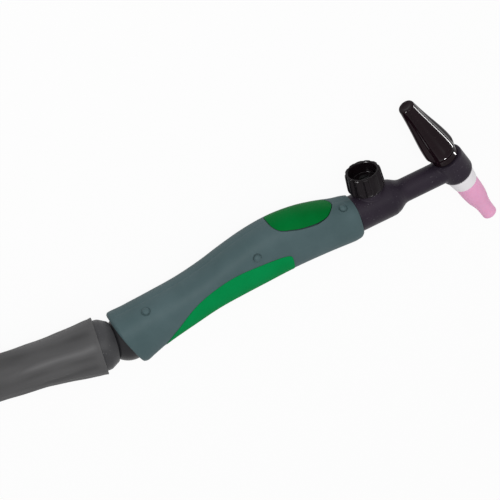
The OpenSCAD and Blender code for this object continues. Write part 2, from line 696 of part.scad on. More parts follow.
module swivel_ball() {
    r = ball_d / 2;
    color([0.22, 0.22, 0.23]) on_ball() difference() {
        union() {
            intersection() {
                sphere(r = r, $fn = 96);
                translate([-cut, -cut, -8.5]) cube([2 * cut, 2 * cut, cut]);
            }
            cylinder(d = tail_d, h = tail_len - ring_w - 1.2);
            translate([0, 0, tail_len - ring_w - 2]) cylinder(d = tail_d - 2, h = ring_w + 2);
        }
        translate([0, 0, -cut]) cylinder(d = ball_bore_d, h = 2 * cut);
        translate([0, 0, -8.6]) cylinder(d1 = ball_bore_d + 10, d2 = ball_bore_d, h = 6);
    }
}

// Snap ring that holds the ball's tail in the cuff
tail_len = 33;
ring_w = 1.4;
ring_bore = 24.6;
module swivel_ring() {
    color("silver") on_ball() translate([0, 0, tail_len - ring_w - 0.6]) difference() {
        cylinder(d = ring_bore - 1, h = ring_w);
        translate([0, 0, -1]) cylinder(d = tail_d - 2 + 2 * seat, h = ring_w + 2);
    }
}

cuff_step = 27;
cuff_end = 50;
cuff_shank_d = 31;
module cable_cuff() {
    color([0.25, 0.24, 0.25]) on_ball() difference() {
        rotate_extrude() polygon([
            [0, cuff_start], [cuff_front_d / 2 - 0.5, cuff_start], [cuff_front_d / 2, cuff_start + 0.5],
            [cuff_d / 2 - 0.9, cuff_start + 5], [cuff_d / 2 - 0.2, cuff_start + 6.4], [cuff_d / 2, cuff_start + 8],
            [cuff_d / 2, cuff_step], [cuff_shank_d / 2, cuff_step], [cuff_shank_d / 2, cuff_end], [0, cuff_end],
        ]);
        sphere(r = ball_d / 2 + face_gap, $fn = 96);
        cylinder(d = tail_d + 2 * running, h = tail_len - ring_w - 1);
        translate([0, 0, tail_len - ring_w - 1]) cylinder(d = ring_bore, h = 4);
        cylinder(d = cable_d + 0.6, h = 2 * cut);
    }
}

// Cable cover: its middle line, and how far its flared mouth has closed at each point
cover_start = 22;
cover_route = [
    [-145.7, -12.6, 19], [-151.6, -11.6, 19], [-159.5, -10.3, 19], [-169.4, -8.6, 18.7], [-179.2, -7, 18.2], [-189, -5.3, 17.6],
    [-203, -3, 17.2], [-225, 1, 17], [-255, 6, 17], [-285, 11, 17], [-315, 16, 17], [-345, 21, 17], [-380, 26, 17],
    [-411, 31, 17], [-441, 37, 17], [-470, 48, 17], [-497, 65, 17], [-520, 89, 17], [-537, 117, 17], [-547, 149, 17],
    [-550, 182, 17], [-545, 215, 17], [-533, 247, 17], [-513, 275, 17], [-488, 301, 17], [-459, 319, 17], [-427, 330, 17],
    [-394, 332, 17], [-361, 327, 17], [-331, 313, 17],
];
cover_flare = [0, 0.07, 0.31, 0.56, 0.76, 0.89, 0.96];
mouth_rake = [4, 1.6]; // how far the upper side of the mouth's first rings is drawn back
cover_sides = 12;

// Rings round a route; flat on the surface below
function unit(v) = v / norm(v);
function heading(route, i) = unit(route[min(i + 1, len(route) - 1)] - route[max(i - 1, 0)]);
function flat(p) = [p[0], p[1], max(p[2], 0)];
function ring_round(c, dir, r, sides, rake = 0) = let (left = unit(cross([0, 0, 1], dir)), up = cross(dir, left))
    [for (i = [0:sides - 1]) let (a = 360 * (i + 0.5) / sides)
        flat(c + r * (cos(a) * left + sin(a) * up) + rake * max(cos(a - 127), 0) * dir)];
function route_rings(route, r, sides) = [for (i = [0:len(route) - 1]) ring_round(route[i], heading(route, i), r, sides)];
function cover_r(i) = i < len(cover_flare) ? (mouth_d + (cover_d - mouth_d) * cover_flare[i]) / 2 : cover_d / 2;

module cable_cover() {
    color([0.22, 0.21, 0.21]) difference() {
        skin([for (i = [0:len(cover_route) - 1]) ring_round(cover_route[i], heading(cover_route, i), cover_r(i) * 1.02, cover_sides,
            i < len(mouth_rake) ? mouth_rake[i] : 0)]);
        on_ball() translate([0, 0, cover_start - 6]) cylinder(d = cuff_d + 2 * seat, h = cuff_step + 6 + seat - cover_start);
        on_ball() translate([0, 0, cover_start]) cylinder(d = cuff_shank_d + 2 * seat, h = cuff_end + 1 - cover_start);
    }
}

// Cable after the cover: free stretch, coil and lead to the plug
cable_route = [[-295, 291, 9], [-286, 271, 8], [-281, 248, 8], [-279, 224, 8], [-280, 204, 8], [-283, 188, 8]];
coil_x = -400;
coil_y = 180;
coil_turns = 5;
climb_turns = 0.5;
coil_pitch = 17.2;
coil_outer = 108;
coil_start = -20;
layer_h = 16.6;
loop_rings = 24;
way_in = (coil_turns - climb_turns) / 2;
function coil_r(t) = t < way_in ? coil_outer - coil_pitch * t
    : t < way_in + climb_turns ? let (s = t - way_in) coil_outer - coil_pitch * (way_in + s - s * s / climb_turns)
    : coil_outer - coil_pitch * (coil_turns - t);
function coil_z(t) = cable_d / 2 + layer_h * ease((t - way_in) / climb_turns);
function coil_point(t) = let (a = coil_start - 360 * t) [coil_x + coil_r(t) * cos(a), coil_y + coil_r(t) * sin(a), coil_z(t)];
coil_in = unit(coil_point(1 / loop_rings) - coil_point(-1 / loop_rings));
coil_out = unit(coil_point(coil_turns + 1 / loop_rings) - coil_point(coil_turns - 1 / loop_rings));
coil_route = concat(
    [coil_point(0) - cable_d * coil_in],
    [for (i = [0:coil_turns * loop_rings]) coil_point(i / loop_rings)],
    [coil_point(coil_turns) + cable_d * coil_out]
);
lead_route = [
    [-311, 113.5, 25.2], [-326, 97, 28], [-348, 83, 32.6], [-375, 74, 38], [-405, 72, 42], [-434, 77, 43], [-460, 90, 43.4],
    [-479, 109, 44.4], [-490, 131, 45.6], [-494, 150, 47.2], [-495, 168, 48], [-495, 180, 48],
];
plug_at = lead_route[len(lead_route) - 1];

coil_gap = min([for (i = [0:len(coil_route) - 1]) for (j = [i + 12:1:len(coil_route) - 1]) norm(coil_route[i] - coil_route[j])]) - cable_d;
echo(least_gap_in_coil_mm = coil_gap);

module cover_boot() {
    end = cover_route[len(cover_route) - 1];
    dir = heading(cover_route, len(cover_route) - 1);
    far = cable_route[0];
    color([0.15, 0.15, 0.16]) skin([
        ring_round(end + dir * seat, dir, cover_d / 2 / cos(180 / cover_sides), cover_sides),
        ring_round(end + dir * 8, dir, cover_d / 2, cover_sides),
        ring_round((end + 2 * far) / 3, unit(far - end), cover_d / 3, cover_sides),
        ring_round(far, heading(cable_route, 0), cable_d / 2 + 1.6, cover_sides),
    ]);
}

module power_cable() {
    color([0.12, 0.12, 0.13]) skin(route_rings(concat(
        [cable_route[0] + seat * heading(cable_route, 0)], [for (i = [1:len(cable_route) - 1]) cable_route[i]],
        [coil_route[0] - cable_d * coil_in, coil_route[0] - seat * coil_in]), cable_d / 2, 8));
}

module cable_coil() {
    color([0.12, 0.12, 0.13]) skin(route_rings(coil_route, cable_d / 2, 6));
}

module plug_lead() {
    color([0.12, 0.12, 0.13]) skin(route_rings(concat(
        [coil_route[len(coil_route) - 1] + seat * coil_out, coil_route[len(coil_route) - 1] + 6 * coil_out], lead_route), cable_d / 2, 8));
}

// Two straps round the coil
module cable_ties() {
    wide = 12;
    thick = 1.2;
    inner_r = coil_outer - coil_pitch * way_in - cable_d / 2 - 3;
    outer_r = coil_outer + cable_d / 2 + 1;
    top = cable_d + layer_h + 0.6;
    color([0.05, 0.05, 0.06]) for (a = [240, 60]) {
        translate([coil_x, coil_y, 0]) rotate([0, 0, a]) translate([inner_r - thick, -wide / 2, 0]) difference() {
            cube([outer_r - inner_r + 2 * thick, wide, top + thick]);
            translate([thick, -1, -1]) cube([outer_r - inner_r, wide + 2, top + 1]);
        }
    }
}

// Current plug on top of the coil, pointing along +Y
module on_plug() translate(plug_at) rotate([-90, 0, 0]) children();

plug_boot_h = 22;
plug_body_h = 46;
plug_pin_h = 24;
pin_root = 12;
module plug_boot() {
    color([0.10, 0.10, 0.10]) on_plug() rotate_extrude() polygon([
        [0, 0], [cable_d / 2 + 1, 0], [cable_d / 2 + 3.6, plug_boot_h], [0, plug_boot_h],
    ]);
}

module plug_body() {
    r = plug_d / 2;
    color([0.08, 0.08, 0.08]) on_plug() translate([0, 0, plug_boot_h + seat]) difference() {
        rotate_extrude() polygon([
            [0, 0], [r - 3, 0], [r - 1, 2], [r - 1, 12], [r - 2, 14], [r - 2, 30], [r, 33], [r, plug_body_h - 1], [r - 1, plug_body_h], [0, plug_body_h],
        ]);
        translate([0, 0, plug_body_h - pin_root]) cylinder(d = plug_pin_d - 2 + 2 * seat, h = pin_root + 1);
        for (a = [0, 180]) {
            rotate([0, 0, a]) translate([r - 4, 0, plug_body_h - 8]) cylinder(d = 2 + 2 * seat, h = 9);
        }
    }
}

module plug_pin() {
    color("goldenrod") on_plug() translate([0, 0, plug_boot_h + plug_body_h + 2 * seat]) difference() {
        union() {
            cylinder(d = plug_pin_d, h = plug_pin_h);
            translate([0, 0, seat - pin_root]) cylinder(d = plug_pin_d - 2, h = pin_root);
        }
        translate([0, 0, plug_pin_h / 3]) cylinder(d = 4, h = cut);
    }
}

module plug_contacts() {
    color("goldenrod") on_plug() for (a = [0, 180]) {
        rotate([0, 0, a]) translate([plug_d / 2 - 4, 0, plug_boot_h + plug_body_h - 7.9]) cylinder(d = 2, h = 14);
    }
}

torch_body();
head_core();
neck_tube();
cup_gasket();
nozzle();
collet_body();
collet();
electrode();
back_cap();
back_cap_o_ring();
valve_body();
valve_stem();
valve_o_ring();
valve_knob();
knob_screw();
handle_left();
handle_right();
handle_screws();
grip_pad_left();
grip_pad_right();
trigger();
trigger_pin();
microswitch();
switch_plunger();
hose_fitting();
inner_hose();
crimp_ferrule();
swivel_ball();
swivel_ring();
cable_cuff();
cable_cover();
cover_boot();
power_cable();
cable_coil();
cable_ties();
plug_lead();
plug_boot();
plug_body();
plug_pin();
plug_contacts();
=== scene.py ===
import math

import bmesh
import bpy
from mathutils import Matrix, Vector, noise

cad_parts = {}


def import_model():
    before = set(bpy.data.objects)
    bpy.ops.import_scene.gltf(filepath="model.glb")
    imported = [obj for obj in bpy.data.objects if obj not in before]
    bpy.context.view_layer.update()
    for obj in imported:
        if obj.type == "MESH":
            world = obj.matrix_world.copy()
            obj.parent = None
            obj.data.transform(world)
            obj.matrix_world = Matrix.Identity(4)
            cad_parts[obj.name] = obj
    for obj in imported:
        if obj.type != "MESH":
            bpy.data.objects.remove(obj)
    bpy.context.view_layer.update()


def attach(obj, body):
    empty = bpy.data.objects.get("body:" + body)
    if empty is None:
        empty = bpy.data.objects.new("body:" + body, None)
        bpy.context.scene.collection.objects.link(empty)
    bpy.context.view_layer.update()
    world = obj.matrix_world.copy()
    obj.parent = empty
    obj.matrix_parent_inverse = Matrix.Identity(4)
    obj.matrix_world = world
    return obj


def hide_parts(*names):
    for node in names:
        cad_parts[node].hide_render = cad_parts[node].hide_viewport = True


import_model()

for name in ("Cube", "Light", "Camera"):
    if name in bpy.data.objects:
        bpy.data.objects.remove(bpy.data.objects[name])

MM = 0.001
HEAD = Vector((150, -6, 19))  # where neck and head meet, in mm
HEAD_LEAN = 20  # degrees from square to the neck
VALVE_X = 69.5  # from the head to the valve
BALL = Vector((-124, -16.2, 19))  # middle of the swivel's ball
CABLE_BEND = 9.5  # degrees from the neck's direction to the cuff's
SEAT = 0.05  # gap between parts that fit into each other
SHARP = 35.0  # degrees from which an edge shows as sharp


# ------------------------ placing

def unit(v):
    return v.normalized()


def framed(origin, x, y, z):
    """Placing matrix from an origin and three directions."""
    return Matrix.Translation(origin) @ Matrix((x, y, z)).transposed().to_4x4()


def added(name, data):
    """New object in the scene."""
    obj = bpy.data.objects.new(name, data)
    bpy.context.scene.collection.objects.link(obj)
    return obj


# ------------------------ camera

def set_camera():
    """Camera above the torch's left side, looking down on its back."""
    place = (-0.267755, 0.838034, 1.116995)
    right = Vector((0.885648, -0.250231, 0.391168))
    up = Vector((0.428670, 0.764430, -0.481549))
    back = Vector((-0.178522, 0.594165, 0.784282))
    data = bpy.data.cameras.new("camera")
    data.sensor_width, data.lens = 36, 138.46
    data.clip_start, data.clip_end = 0.05, 20
    camera = added("camera", data)
    camera.matrix_world = framed(place, right, up, back)
    bpy.context.scene.camera = camera
    bpy.context.scene.view_settings.view_transform = "Standard"


set_camera()


# ------------------------ finishes

def arithmetic(operation, swapped=False):
    """Operator that adds a node of shader arithmetic."""

    def made(value, other):
        pair = (other, value) if swapped else (value, other)
        return value.nodes.node("ShaderNodeMath", {"operation": operation}, dict(enumerate(pair)))

    return made


class Value:
    """A shader socket that takes part in Python arithmetic."""

    __add__, __radd__ = arithmetic("ADD"), arithmetic("ADD", True)
    __sub__, __rsub__ = arithmetic("SUBTRACT"), arithmetic("SUBTRACT", True)
    __mul__, __rmul__ = arithmetic("MULTIPLY"), arithmetic("MULTIPLY", True)

    def __init__(self, nodes, socket):
        self.nodes, self.socket = nodes, socket

    def over(self, low, high):
        """0 below low, 1 above high."""
        sockets = {0: self, 1: low, 2: high, 3: 0.0, 4: 1.0}
        return self.nodes.node("ShaderNodeMapRange", {"clamp": True}, sockets)


class Nodes:
    """The node tree of a material or a world."""

    def __init__(self, owner):
        owner.use_nodes = True
        self.tree = owner.node_tree

    def node(self, kind, settings, sockets, out=0):
        made = self.tree.nodes.new(kind)
        for key, value in settings.items():
            setattr(made, key, value)
        for key, value in sockets.items():
            self.feed(made.inputs[key], value)
        return Value(self, made.outputs[out])

    def feed(self, socket, value):
        if isinstance(value, Value):
            self.tree.links.new(value.socket, socket)
        else:
            socket.default_value = value


class Finish(Nodes):
    """One material, laid out from a Principled shader."""

    def __init__(self, name, **plain):
        self.name = name
        self.material = bpy.data.materials.new(name)
        super().__init__(self.material)
        self.shader = self.tree.nodes["Principled BSDF"]
        self.place = None
        self.set(**plain)

    def set(self, **sockets):
        for key, value in sockets.items():
            self.feed(self.shader.inputs[key.replace("_", " ")], value)

    def point(self, stretch=None):
        """The place on the piece in metres, which may be stretched along each axis."""
        if self.place is None:
            self.place = self.node("ShaderNodeTexCoord", {}, {}, "Object")
        if stretch is None:
            return self.place
        sockets = {0: self.place, 1: stretch}
        return self.node("ShaderNodeVectorMath", {"operation": "MULTIPLY"}, sockets)

    def noise(self, per_metre, detail=3.0, rough=0.55, stretch=None):
        sockets = {"Vector": self.point(stretch), "Scale": per_metre, "Detail": detail, "Roughness": rough}
        return self.node("ShaderNodeTexNoise", {}, sockets)

    def cells(self, per_metre, feature="F1"):
        sockets = {"Vector": self.point(), "Scale": per_metre}
        return self.node("ShaderNodeTexVoronoi", {"feature": feature}, sockets)

    def wave(self, per_metre, direction, distortion):
        sockets = {"Vector": self.point(), "Scale": per_metre, "Distortion": distortion}
        return self.node("ShaderNodeTexWave", {"bands_direction": direction}, sockets)

    def tint(self, amount, low, high):
        """Mixes two colours, the first of them a value or a triple."""
        first = low if isinstance(low, Value) else (*low, 1)
        return self.node("ShaderNodeMix", {"data_type": "RGBA"}, {0: amount, 6: first, 7: (*high, 1)}, 2)

    def relief(self, height, depth_mm, strength):
        """Bump of a given depth."""
        sockets = {"Strength": strength, "Distance": depth_mm * MM, "Height": height}
        self.set(Normal=self.node("ShaderNodeBump", {}, sockets))
        return self


def moulded(name, dark, light, roughness, grain, depth, specks=None, gloss=0.2):
    """Injection moulded plastic: slow colour drift, fine grain, faint rubbed patches and dust."""
    f = Finish(name, Specular_IOR_Level=gloss)
    drift = f.noise(28, 4, 0.6)
    sheen_and_rubbed = f.noise(190, 5, 0.65).over(0.52, 0.74)
    colour = f.tint(drift.over(0.35, 0.65), dark, light)
    if specks:
        dust = f.noise(850, 2, 0.5).over(0.675, 0.72) * f.noise(60, 2, 0.5).over(0.45, 0.6)
        colour = f.tint(dust * 0.8, colour, specks)
    f.set(Base_Color=colour, Roughness=roughness + 0.10 * (drift - 0.5) - 0.07 * sheen_and_rubbed)
    return f.relief(f.noise(grain, 3, 0.6) + 0.5 * f.noise(grain / 5, 2, 0.5), depth, 0.55)


def soft_grip(name, dark, light):
    """Soft moulded grip: matt, finely dimpled."""
    f = Finish(name, Specular_IOR_Level=0.04)
    drift = f.noise(40, 4, 0.6)
    dimples = f.cells(820).over(0.0, 0.42)
    colour = f.tint(drift.over(0.3, 0.7) * 0.7 + dimples * 0.3, dark, light)
    f.set(Base_Color=colour, Roughness=0.62 + 0.12 * (drift - 0.5))
    return f.relief(dimples * 0.8 + 0.3 * f.noise(3200, 2, 0.5), 0.10, 0.6)


def pressed_ceramic(name, dark, light, pore):
    """Unglazed alumina: chalky, with fine pores."""
    f = Finish(name, Specular_IOR_Level=0.25, Subsurface_Weight=0.12, Subsurface_Radius=(0.9, 0.5, 0.5),
               Subsurface_Scale=0.002)
    drift = f.noise(60, 4, 0.6)
    pores = f.noise(3800, 3, 0.6).over(0.60, 0.72)
    colour = f.tint(pores * 0.35, f.tint(drift.over(0.3, 0.7), dark, light), pore)
    f.set(Base_Color=colour, Roughness=0.50 + 0.14 * (drift - 0.5))
    return f.relief(f.noise(2400, 3, 0.6) - 0.6 * pores, 0.035, 0.5)


def turned_metal(name, dark, light, roughness=0.28, rings=1500):
    """Turned or drawn metal with fine tool marks and a little tarnish."""
    f = Finish(name, Metallic=1.0, Specular_IOR_Level=0.5)
    stain = f.noise(140, 5, 0.6).over(0.4, 0.7)
    marks = f.noise(rings, 2, 0.5, (1, 0.12, 1))
    colour = f.tint(stain, light, dark)
    f.set(Base_Color=colour, Roughness=roughness + 0.16 * stain + 0.08 * (marks - 0.5))
    return f.relief(marks, 0.012, 0.5)


def hide(name, dark, light):
    """Dyed split leather: faint pebbled grain, with painted highlight on its folds and rim and painted shade
    between the folds and inside its mouth.
    """
    f = Finish(name, Specular_IOR_Level=0.22)
    drift = f.noise(16, 4, 0.55)
    crease = f.noise(55, 3, 0.5, (0.35, 1, 1))
    grain = f.cells(1300, "SMOOTH_F1")
    painted_light = f.node("ShaderNodeAttribute", {"attribute_name": "painted_light"}, {}, 2)
    plain = f.tint(drift.over(0.3, 0.7) * 0.6 + crease.over(0.35, 0.7) * 0.3 + grain * 0.1, dark, light)
    # Painted highlight: lighter where the folds and the mouth's rim would catch the light.
    sheen_and_rubbed = f.tint(painted_light.over(0.1, 1.1) * 0.45, plain, [1.8 * c for c in light])
    # Painted shade: darker between the folds and inside the mouth's hollow.
    colour = f.tint((0.0 - painted_light).over(0.1, 1.1) * 0.55, sheen_and_rubbed, [0.45 * c for c in dark])
    f.set(Base_Color=colour, Roughness=0.57 + 0.10 * (drift - 0.5) - 0.10 * painted_light.over(0.1, 1.0))
    return f.relief(0.10 * grain + 1.0 * crease + 0.05 * f.noise(2600, 3, 0.6), 0.35, 0.5)


def extruded_rubber(name, dark, light, roughness=0.5):
    """Extruded cable jacket: fine grain, slight bloom and dust."""
    f = Finish(name, Specular_IOR_Level=0.22)
    bloom = f.noise(45, 5, 0.6)
    dust = f.noise(1300, 3, 0.6).over(0.62, 0.74)
    colour = f.tint(dust * 0.22, f.tint(bloom.over(0.3, 0.7), dark, light), (0.12, 0.115, 0.11))
    f.set(Base_Color=colour, Roughness=roughness + 0.14 * (bloom - 0.5))
    return f.relief(f.noise(1800, 3, 0.6), 0.04, 0.45)


def webbing(name, dark, light):
    """Woven strap."""
    f = Finish(name, Specular_IOR_Level=0.3, Sheen_Weight=0.3, Sheen_Roughness=0.5)
    yarn = f.wave(1100, "DIAGONAL", 0.6) * 0.5 + f.wave(900, "Z", 0.6) * 0.5
    f.set(Base_Color=f.tint(yarn.over(0.2, 0.8), dark, light), Roughness=0.85 - 0.15 * yarn)
    return f.relief(yarn, 0.22, 0.6)


# Each one's name, its darker and lighter colour, and then what its kind takes
FINISH = {made.name: made.material for made in (
    moulded("body_black", (0.019, 0.014, 0.023), (0.026, 0.019, 0.030), 0.40, 1900, 0.05,
            (0.16, 0.15, 0.17), 0.13),
    moulded("cap_black", (0.008, 0.003, 0.005), (0.013, 0.005, 0.008), 0.09, 300, 0.002,
            (0.05, 0.04, 0.04), 0.10),
    moulded("knob_black", (0.005, 0.003, 0.004), (0.011, 0.008, 0.010), 0.24, 1500, 0.02,
            (0.07, 0.06, 0.07), 0.10),
    moulded("gasket_white", (0.93, 0.90, 0.93), (0.98, 0.95, 0.98), 0.42, 1200, 0.02),
    pressed_ceramic("alumina_pink", (0.900, 0.415, 0.640), (0.960, 0.480, 0.720), (0.62, 0.28, 0.42)),
    turned_metal("copper", (0.42, 0.20, 0.12), (0.80, 0.42, 0.28)),
    turned_metal("brass", (0.46, 0.33, 0.15), (0.80, 0.62, 0.32)),
    turned_metal("tungsten", (0.30, 0.30, 0.31), (0.50, 0.50, 0.51), 0.34, 2600),
    turned_metal("steel", (0.34, 0.34, 0.35), (0.62, 0.62, 0.63), 0.30),
    turned_metal("screw_black", (0.006, 0.006, 0.006), (0.016, 0.016, 0.017), 0.45),
    moulded("handle_grey", (0.061, 0.104, 0.111), (0.077, 0.125, 0.134), 0.56, 2300, 0.035, None, 0.22),
    soft_grip("grip_green", (0.000, 0.234, 0.057), (0.001, 0.288, 0.077)),
    moulded("button_green", (0.000, 0.141, 0.024), (0.000, 0.170, 0.032), 0.40, 2300, 0.03, None, 0.03),
    extruded_rubber("seal_black", (0.010, 0.010, 0.010), (0.020, 0.020, 0.020), 0.35),
    moulded("switch_black", (0.022, 0.022, 0.024), (0.034, 0.034, 0.036), 0.40, 2600, 0.04),
    moulded("plunger_white", (0.66, 0.62, 0.50), (0.76, 0.73, 0.62), 0.40, 2600, 0.04),
    moulded("ball_black", (0.015, 0.015, 0.017), (0.024, 0.024, 0.027), 0.36, 2000, 0.03),
    moulded("cuff_grey", (0.050, 0.050, 0.053), (0.064, 0.064, 0.068), 0.44, 1700, 0.04, (0.16, 0.16, 0.16)),
    hide("cover_grey", (0.076, 0.075, 0.077), (0.096, 0.095, 0.097)),
    extruded_rubber("cable_black", (0.014, 0.014, 0.015), (0.028, 0.028, 0.030)),
    webbing("strap_black", (0.010, 0.010, 0.012), (0.040, 0.040, 0.045)),
    extruded_rubber("plug_black", (0.016, 0.016, 0.017), (0.032, 0.032, 0.033), 0.46),
)}


# ------------------------ making pieces

def side(x, height, n):
    """A point from distance behind the head, height above the neck and distance out to the left, in mm."""
    return Vector((HEAD.x - x, HEAD.y + height, HEAD.z + n))


def spindle(origin, along, across=None):
    """Placing matrix whose +Z runs along a direction."""
    z = unit(Vector(along))
    if across is None:
        across = Vector((0, 0, 1)).cross(z) if abs(z.z) < 0.9 else (1, 0, 0)
    x = unit(Vector(across))
    return framed(origin, x, z.cross(x), z)


def around(sides):
    """Even angles round a circle."""
    return [2 * math.pi * k / sides for k in range(sides)]


def polar(place, r, a, h):
    """Point at a radius, an angle and a height of a spindle."""
    return place @ Vector((r * math.cos(a), r * math.sin(a), h))


def ring_on(place, r, h, sides):
    """Points round a spindle at a height."""
    return [polar(place, r, a, h) for a in around(sides)]


LEAN = math.radians(HEAD_LEAN)
ON_HEAD = spindle(HEAD, (-math.sin(LEAN), math.cos(LEAN), 0), (math.cos(LEAN), math.sin(LEAN), 0))
ALONG_NECK = spindle(HEAD, (-1, 0, 0))
ON_VALVE = spindle(HEAD - Vector((VALVE_X, 0, 0)), (0, 1, 0))
BEND = math.radians(CABLE_BEND)
ALONG_CUFF = spindle(BALL, (-math.cos(BEND), math.sin(BEND), 0))


def solid(name, verts, faces, weld=0.0):
    """Loose object from points in mm, without a finish."""
    mesh = bpy.data.meshes.new(name)
    mesh.from_pydata([[c * MM for c in v] for v in verts], [], faces)
    obj = added(name, mesh)
    tidy(obj, weld)
    return obj


def piece(name, verts, faces, body, slot, replaces, sharp=SHARP):
    """A finished object from points in mm."""
    return dress(solid(name, verts, faces), body, slot, replaces, sharp)


def dress(obj, body, slot, replaces, sharp=SHARP):
    """Gives an object its finish, its body and the nodes that it stands for."""
    obj.data.materials.clear()
    obj.data.materials.append(FINISH[slot])
    for polygon in obj.data.polygons:
        polygon.material_index = 0
    obj.data.shade_smooth()
    obj.data.set_sharp_from_angle(angle=math.radians(sharp))
    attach(obj, body)
    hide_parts(*replaces)
    return obj


def tidy(obj, weld=0.0):
    """Welds points closer than a given distance in mm, and makes the faces point outward."""
    work = bmesh.new()
    work.from_mesh(obj.data)
    if weld:
        bmesh.ops.remove_doubles(work, verts=work.verts, dist=weld * MM)
    bmesh.ops.recalc_face_normals(work, faces=work.faces)
    work.to_mesh(obj.data)
    work.free()


def settle(obj):
    """Applies an object's modifiers."""
    bpy.context.view_layer.update()
    graph = bpy.context.evaluated_depsgraph_get()
    made = bpy.data.meshes.new_from_object(obj.evaluated_get(graph))
    obj.modifiers.clear()
    obj.data = made


def cut_with(obj, tool, how="DIFFERENCE"):
    """Boolean with another object, which is used up."""
    cut = obj.modifiers.new("cut", "BOOLEAN")
    cut.operation, cut.solver, cut.object = how, "EXACT", tool
    settle(obj)
    bpy.data.objects.remove(tool)


def carve(obj, verts, faces, how="DIFFERENCE"):
    """Boolean with a tool given as points in mm."""
    cut_with(obj, solid("tool", verts, faces), how)


def ease_edges(obj, width, segments):
    """Rounds the sharp edges."""
    bevel = obj.modifiers.new("edges", "BEVEL")
    bevel.width, bevel.segments, bevel.limit_method = width * MM, segments, "ANGLE"
    bevel.angle_limit = math.radians(42)
    bevel.miter_outer = "MITER_ARC"
    settle(obj)


def skin(rings, ends=True):
    """Faces through closed rings of points; the first and last ring may be closed off."""
    n = len(rings[0])
    verts = [p for ring in rings for p in ring]
    faces = [(i * n + j, i * n + (j + 1) % n, (i + 1) * n + (j + 1) % n, (i + 1) * n + j)
             for i in range(len(rings) - 1) for j in range(n)]
    if ends:
        faces.append(tuple(range(n)))
        faces.append(tuple((len(rings) - 1) * n + j for j in reversed(range(n))))
    return verts, faces


def loop_skin(rings):
    """Rings that close on themselves, such as a lathe turned all the way round."""
    n, m = len(rings[0]), len(rings)
    faces = [(i * n + j, i * n + (j + 1) % n, ((i + 1) % m) * n + (j + 1) % n, ((i + 1) % m) * n + j)
             for i in range(m) for j in range(n)]
    return [p for ring in rings for p in ring], faces


def rounded(profile, radius=0.4, steps=3):
    """Rounds the corners of a closed profile of (radius, height, and a corner's own rounding)."""
    made = []
    count = len(profile)
    for i, (r, h, *own) in enumerate(profile):
        here = Vector((r, h))
        before = Vector(profile[i - 1][:2]) - here
        after = Vector(profile[(i + 1) % count][:2]) - here
        size = own[0] if own else radius
        reach = min(size, before.length * 0.45, after.length * 0.45)
        if here.x < 0.01 or reach < 0.02 or before.length < 1e-6 or after.length < 1e-6:
            made.append((here.x, here.y))
            continue
        a, b = here + before.normalized() * reach, here + after.normalized() * reach
        for k in range(steps + 1):
            t = k / steps
            p = a * (1 - t) ** 2 + here * (2 * t * (1 - t)) + b * t * t
            made.append((p.x, p.y))
    return made


def lathe(profile, place, segments, wobble=None):
    """Turned solid from a closed profile of (radius, height); wobble changes the radius."""
    return loop_skin([[polar(place, wobble(r, h, a) if wobble else r, a, h) for r, h in profile]
                      for a in around(segments)])


def turned(name, profile, place, body, slot, replaces, radius, segments):
    """Turned piece whose corners are rounded."""
    obj = solid(name, *lathe(rounded(profile, radius), place, segments), 0.002)
    return dress(obj, body, slot, replaces)


def subdivided(profile, closed, step, size):
    """Profile with more points on its longer stretches; size says how long a stretch counts."""
    ends = profile[1:] + profile[:1] if closed else profile[1:]
    made = []
    for (r0, h0), (r1, h1) in zip(profile, ends):
        count = max(1, round(size(abs(r1 - r0), abs(h1 - h0)) / step))
        made += [(r0 + (r1 - r0) * k / count, h0 + (h1 - h0) * k / count) for k in range(count)]
    return made if closed else made + profile[-1:]


def rod(place, r, low, high, sides):
    """Round bar along a spindle."""
    return skin([ring_on(place, r, h, sides) for h in (low, high)])


def merged(parts):
    """One set of points and faces from several."""
    verts, faces = [], []
    for more, their in parts:
        faces += [tuple(i + len(verts) for i in face) for face in their]
        verts += more
    return verts, faces


def hermite(t, p1, m1, p2, m2):
    """Smooth step from one point to the next, given how fast each is passed."""
    return (p1 * (2 * t ** 3 - 3 * t ** 2 + 1) + m1 * (t ** 3 - 2 * t ** 2 + t)
            + p2 * (3 * t ** 2 - 2 * t ** 3) + m2 * (t ** 3 - t ** 2))


def curve_through(points, step):
    """Even points along a smooth curve through given ones."""
    points = [Vector(p) for p in points]
    made = []
    for i in range(len(points) - 1):
        p0 = points[i - 1] if i else points[0] * 2 - points[1]
        p1, p2 = points[i], points[i + 1]
        p3 = points[i + 2] if i + 2 < len(points) else p2 * 2 - p1
        d01, d12, d23 = (max((b - a).length, 1e-6) for a, b in ((p0, p1), (p1, p2), (p2, p3)))
        m1 = ((p1 - p0) / d01 - (p2 - p0) / (d01 + d12) + (p2 - p1) / d12) * d12
        m2 = ((p2 - p1) / d12 - (p3 - p1) / (d12 + d23) + (p3 - p2) / d23) * d12
        count = max(1, round(d12 / step))
        made += [hermite(k / count, p1, m1, p2, m2) for k in range(count)]
    return made + [points[-1]]


def frame_at(path, i):
    """Directions ahead, left and up at a point of a path."""
    ahead = unit(path[min(i + 1, len(path) - 1)] - path[max(i - 1, 0)])
    left = unit(Vector((0, 0, 1)).cross(ahead))
    return ahead, left, ahead.cross(left)


def hose(path, radius, sides, surface=None, ends=True):
    """Tube along a path; radius and surface may change with distance and angle."""
    rings, run = [], 0.0
    for i, p in enumerate(path):
        ahead, left, up = frame_at(path, i)
        if i:
            run += (p - path[i - 1]).length
        r = radius(run) if callable(radius) else radius
        ring = []
        for a in around(sides):
            out, back = surface(run, a, r) if surface else (r, 0.0)
            q = p + left * (out * math.cos(a)) + up * (out * math.sin(a)) + ahead * back
            q.z = max(q.z, 0.0)
            ring.append(q)
        rings.append(ring)
    return skin(rings, ends)


# ------------------------ cover and cable

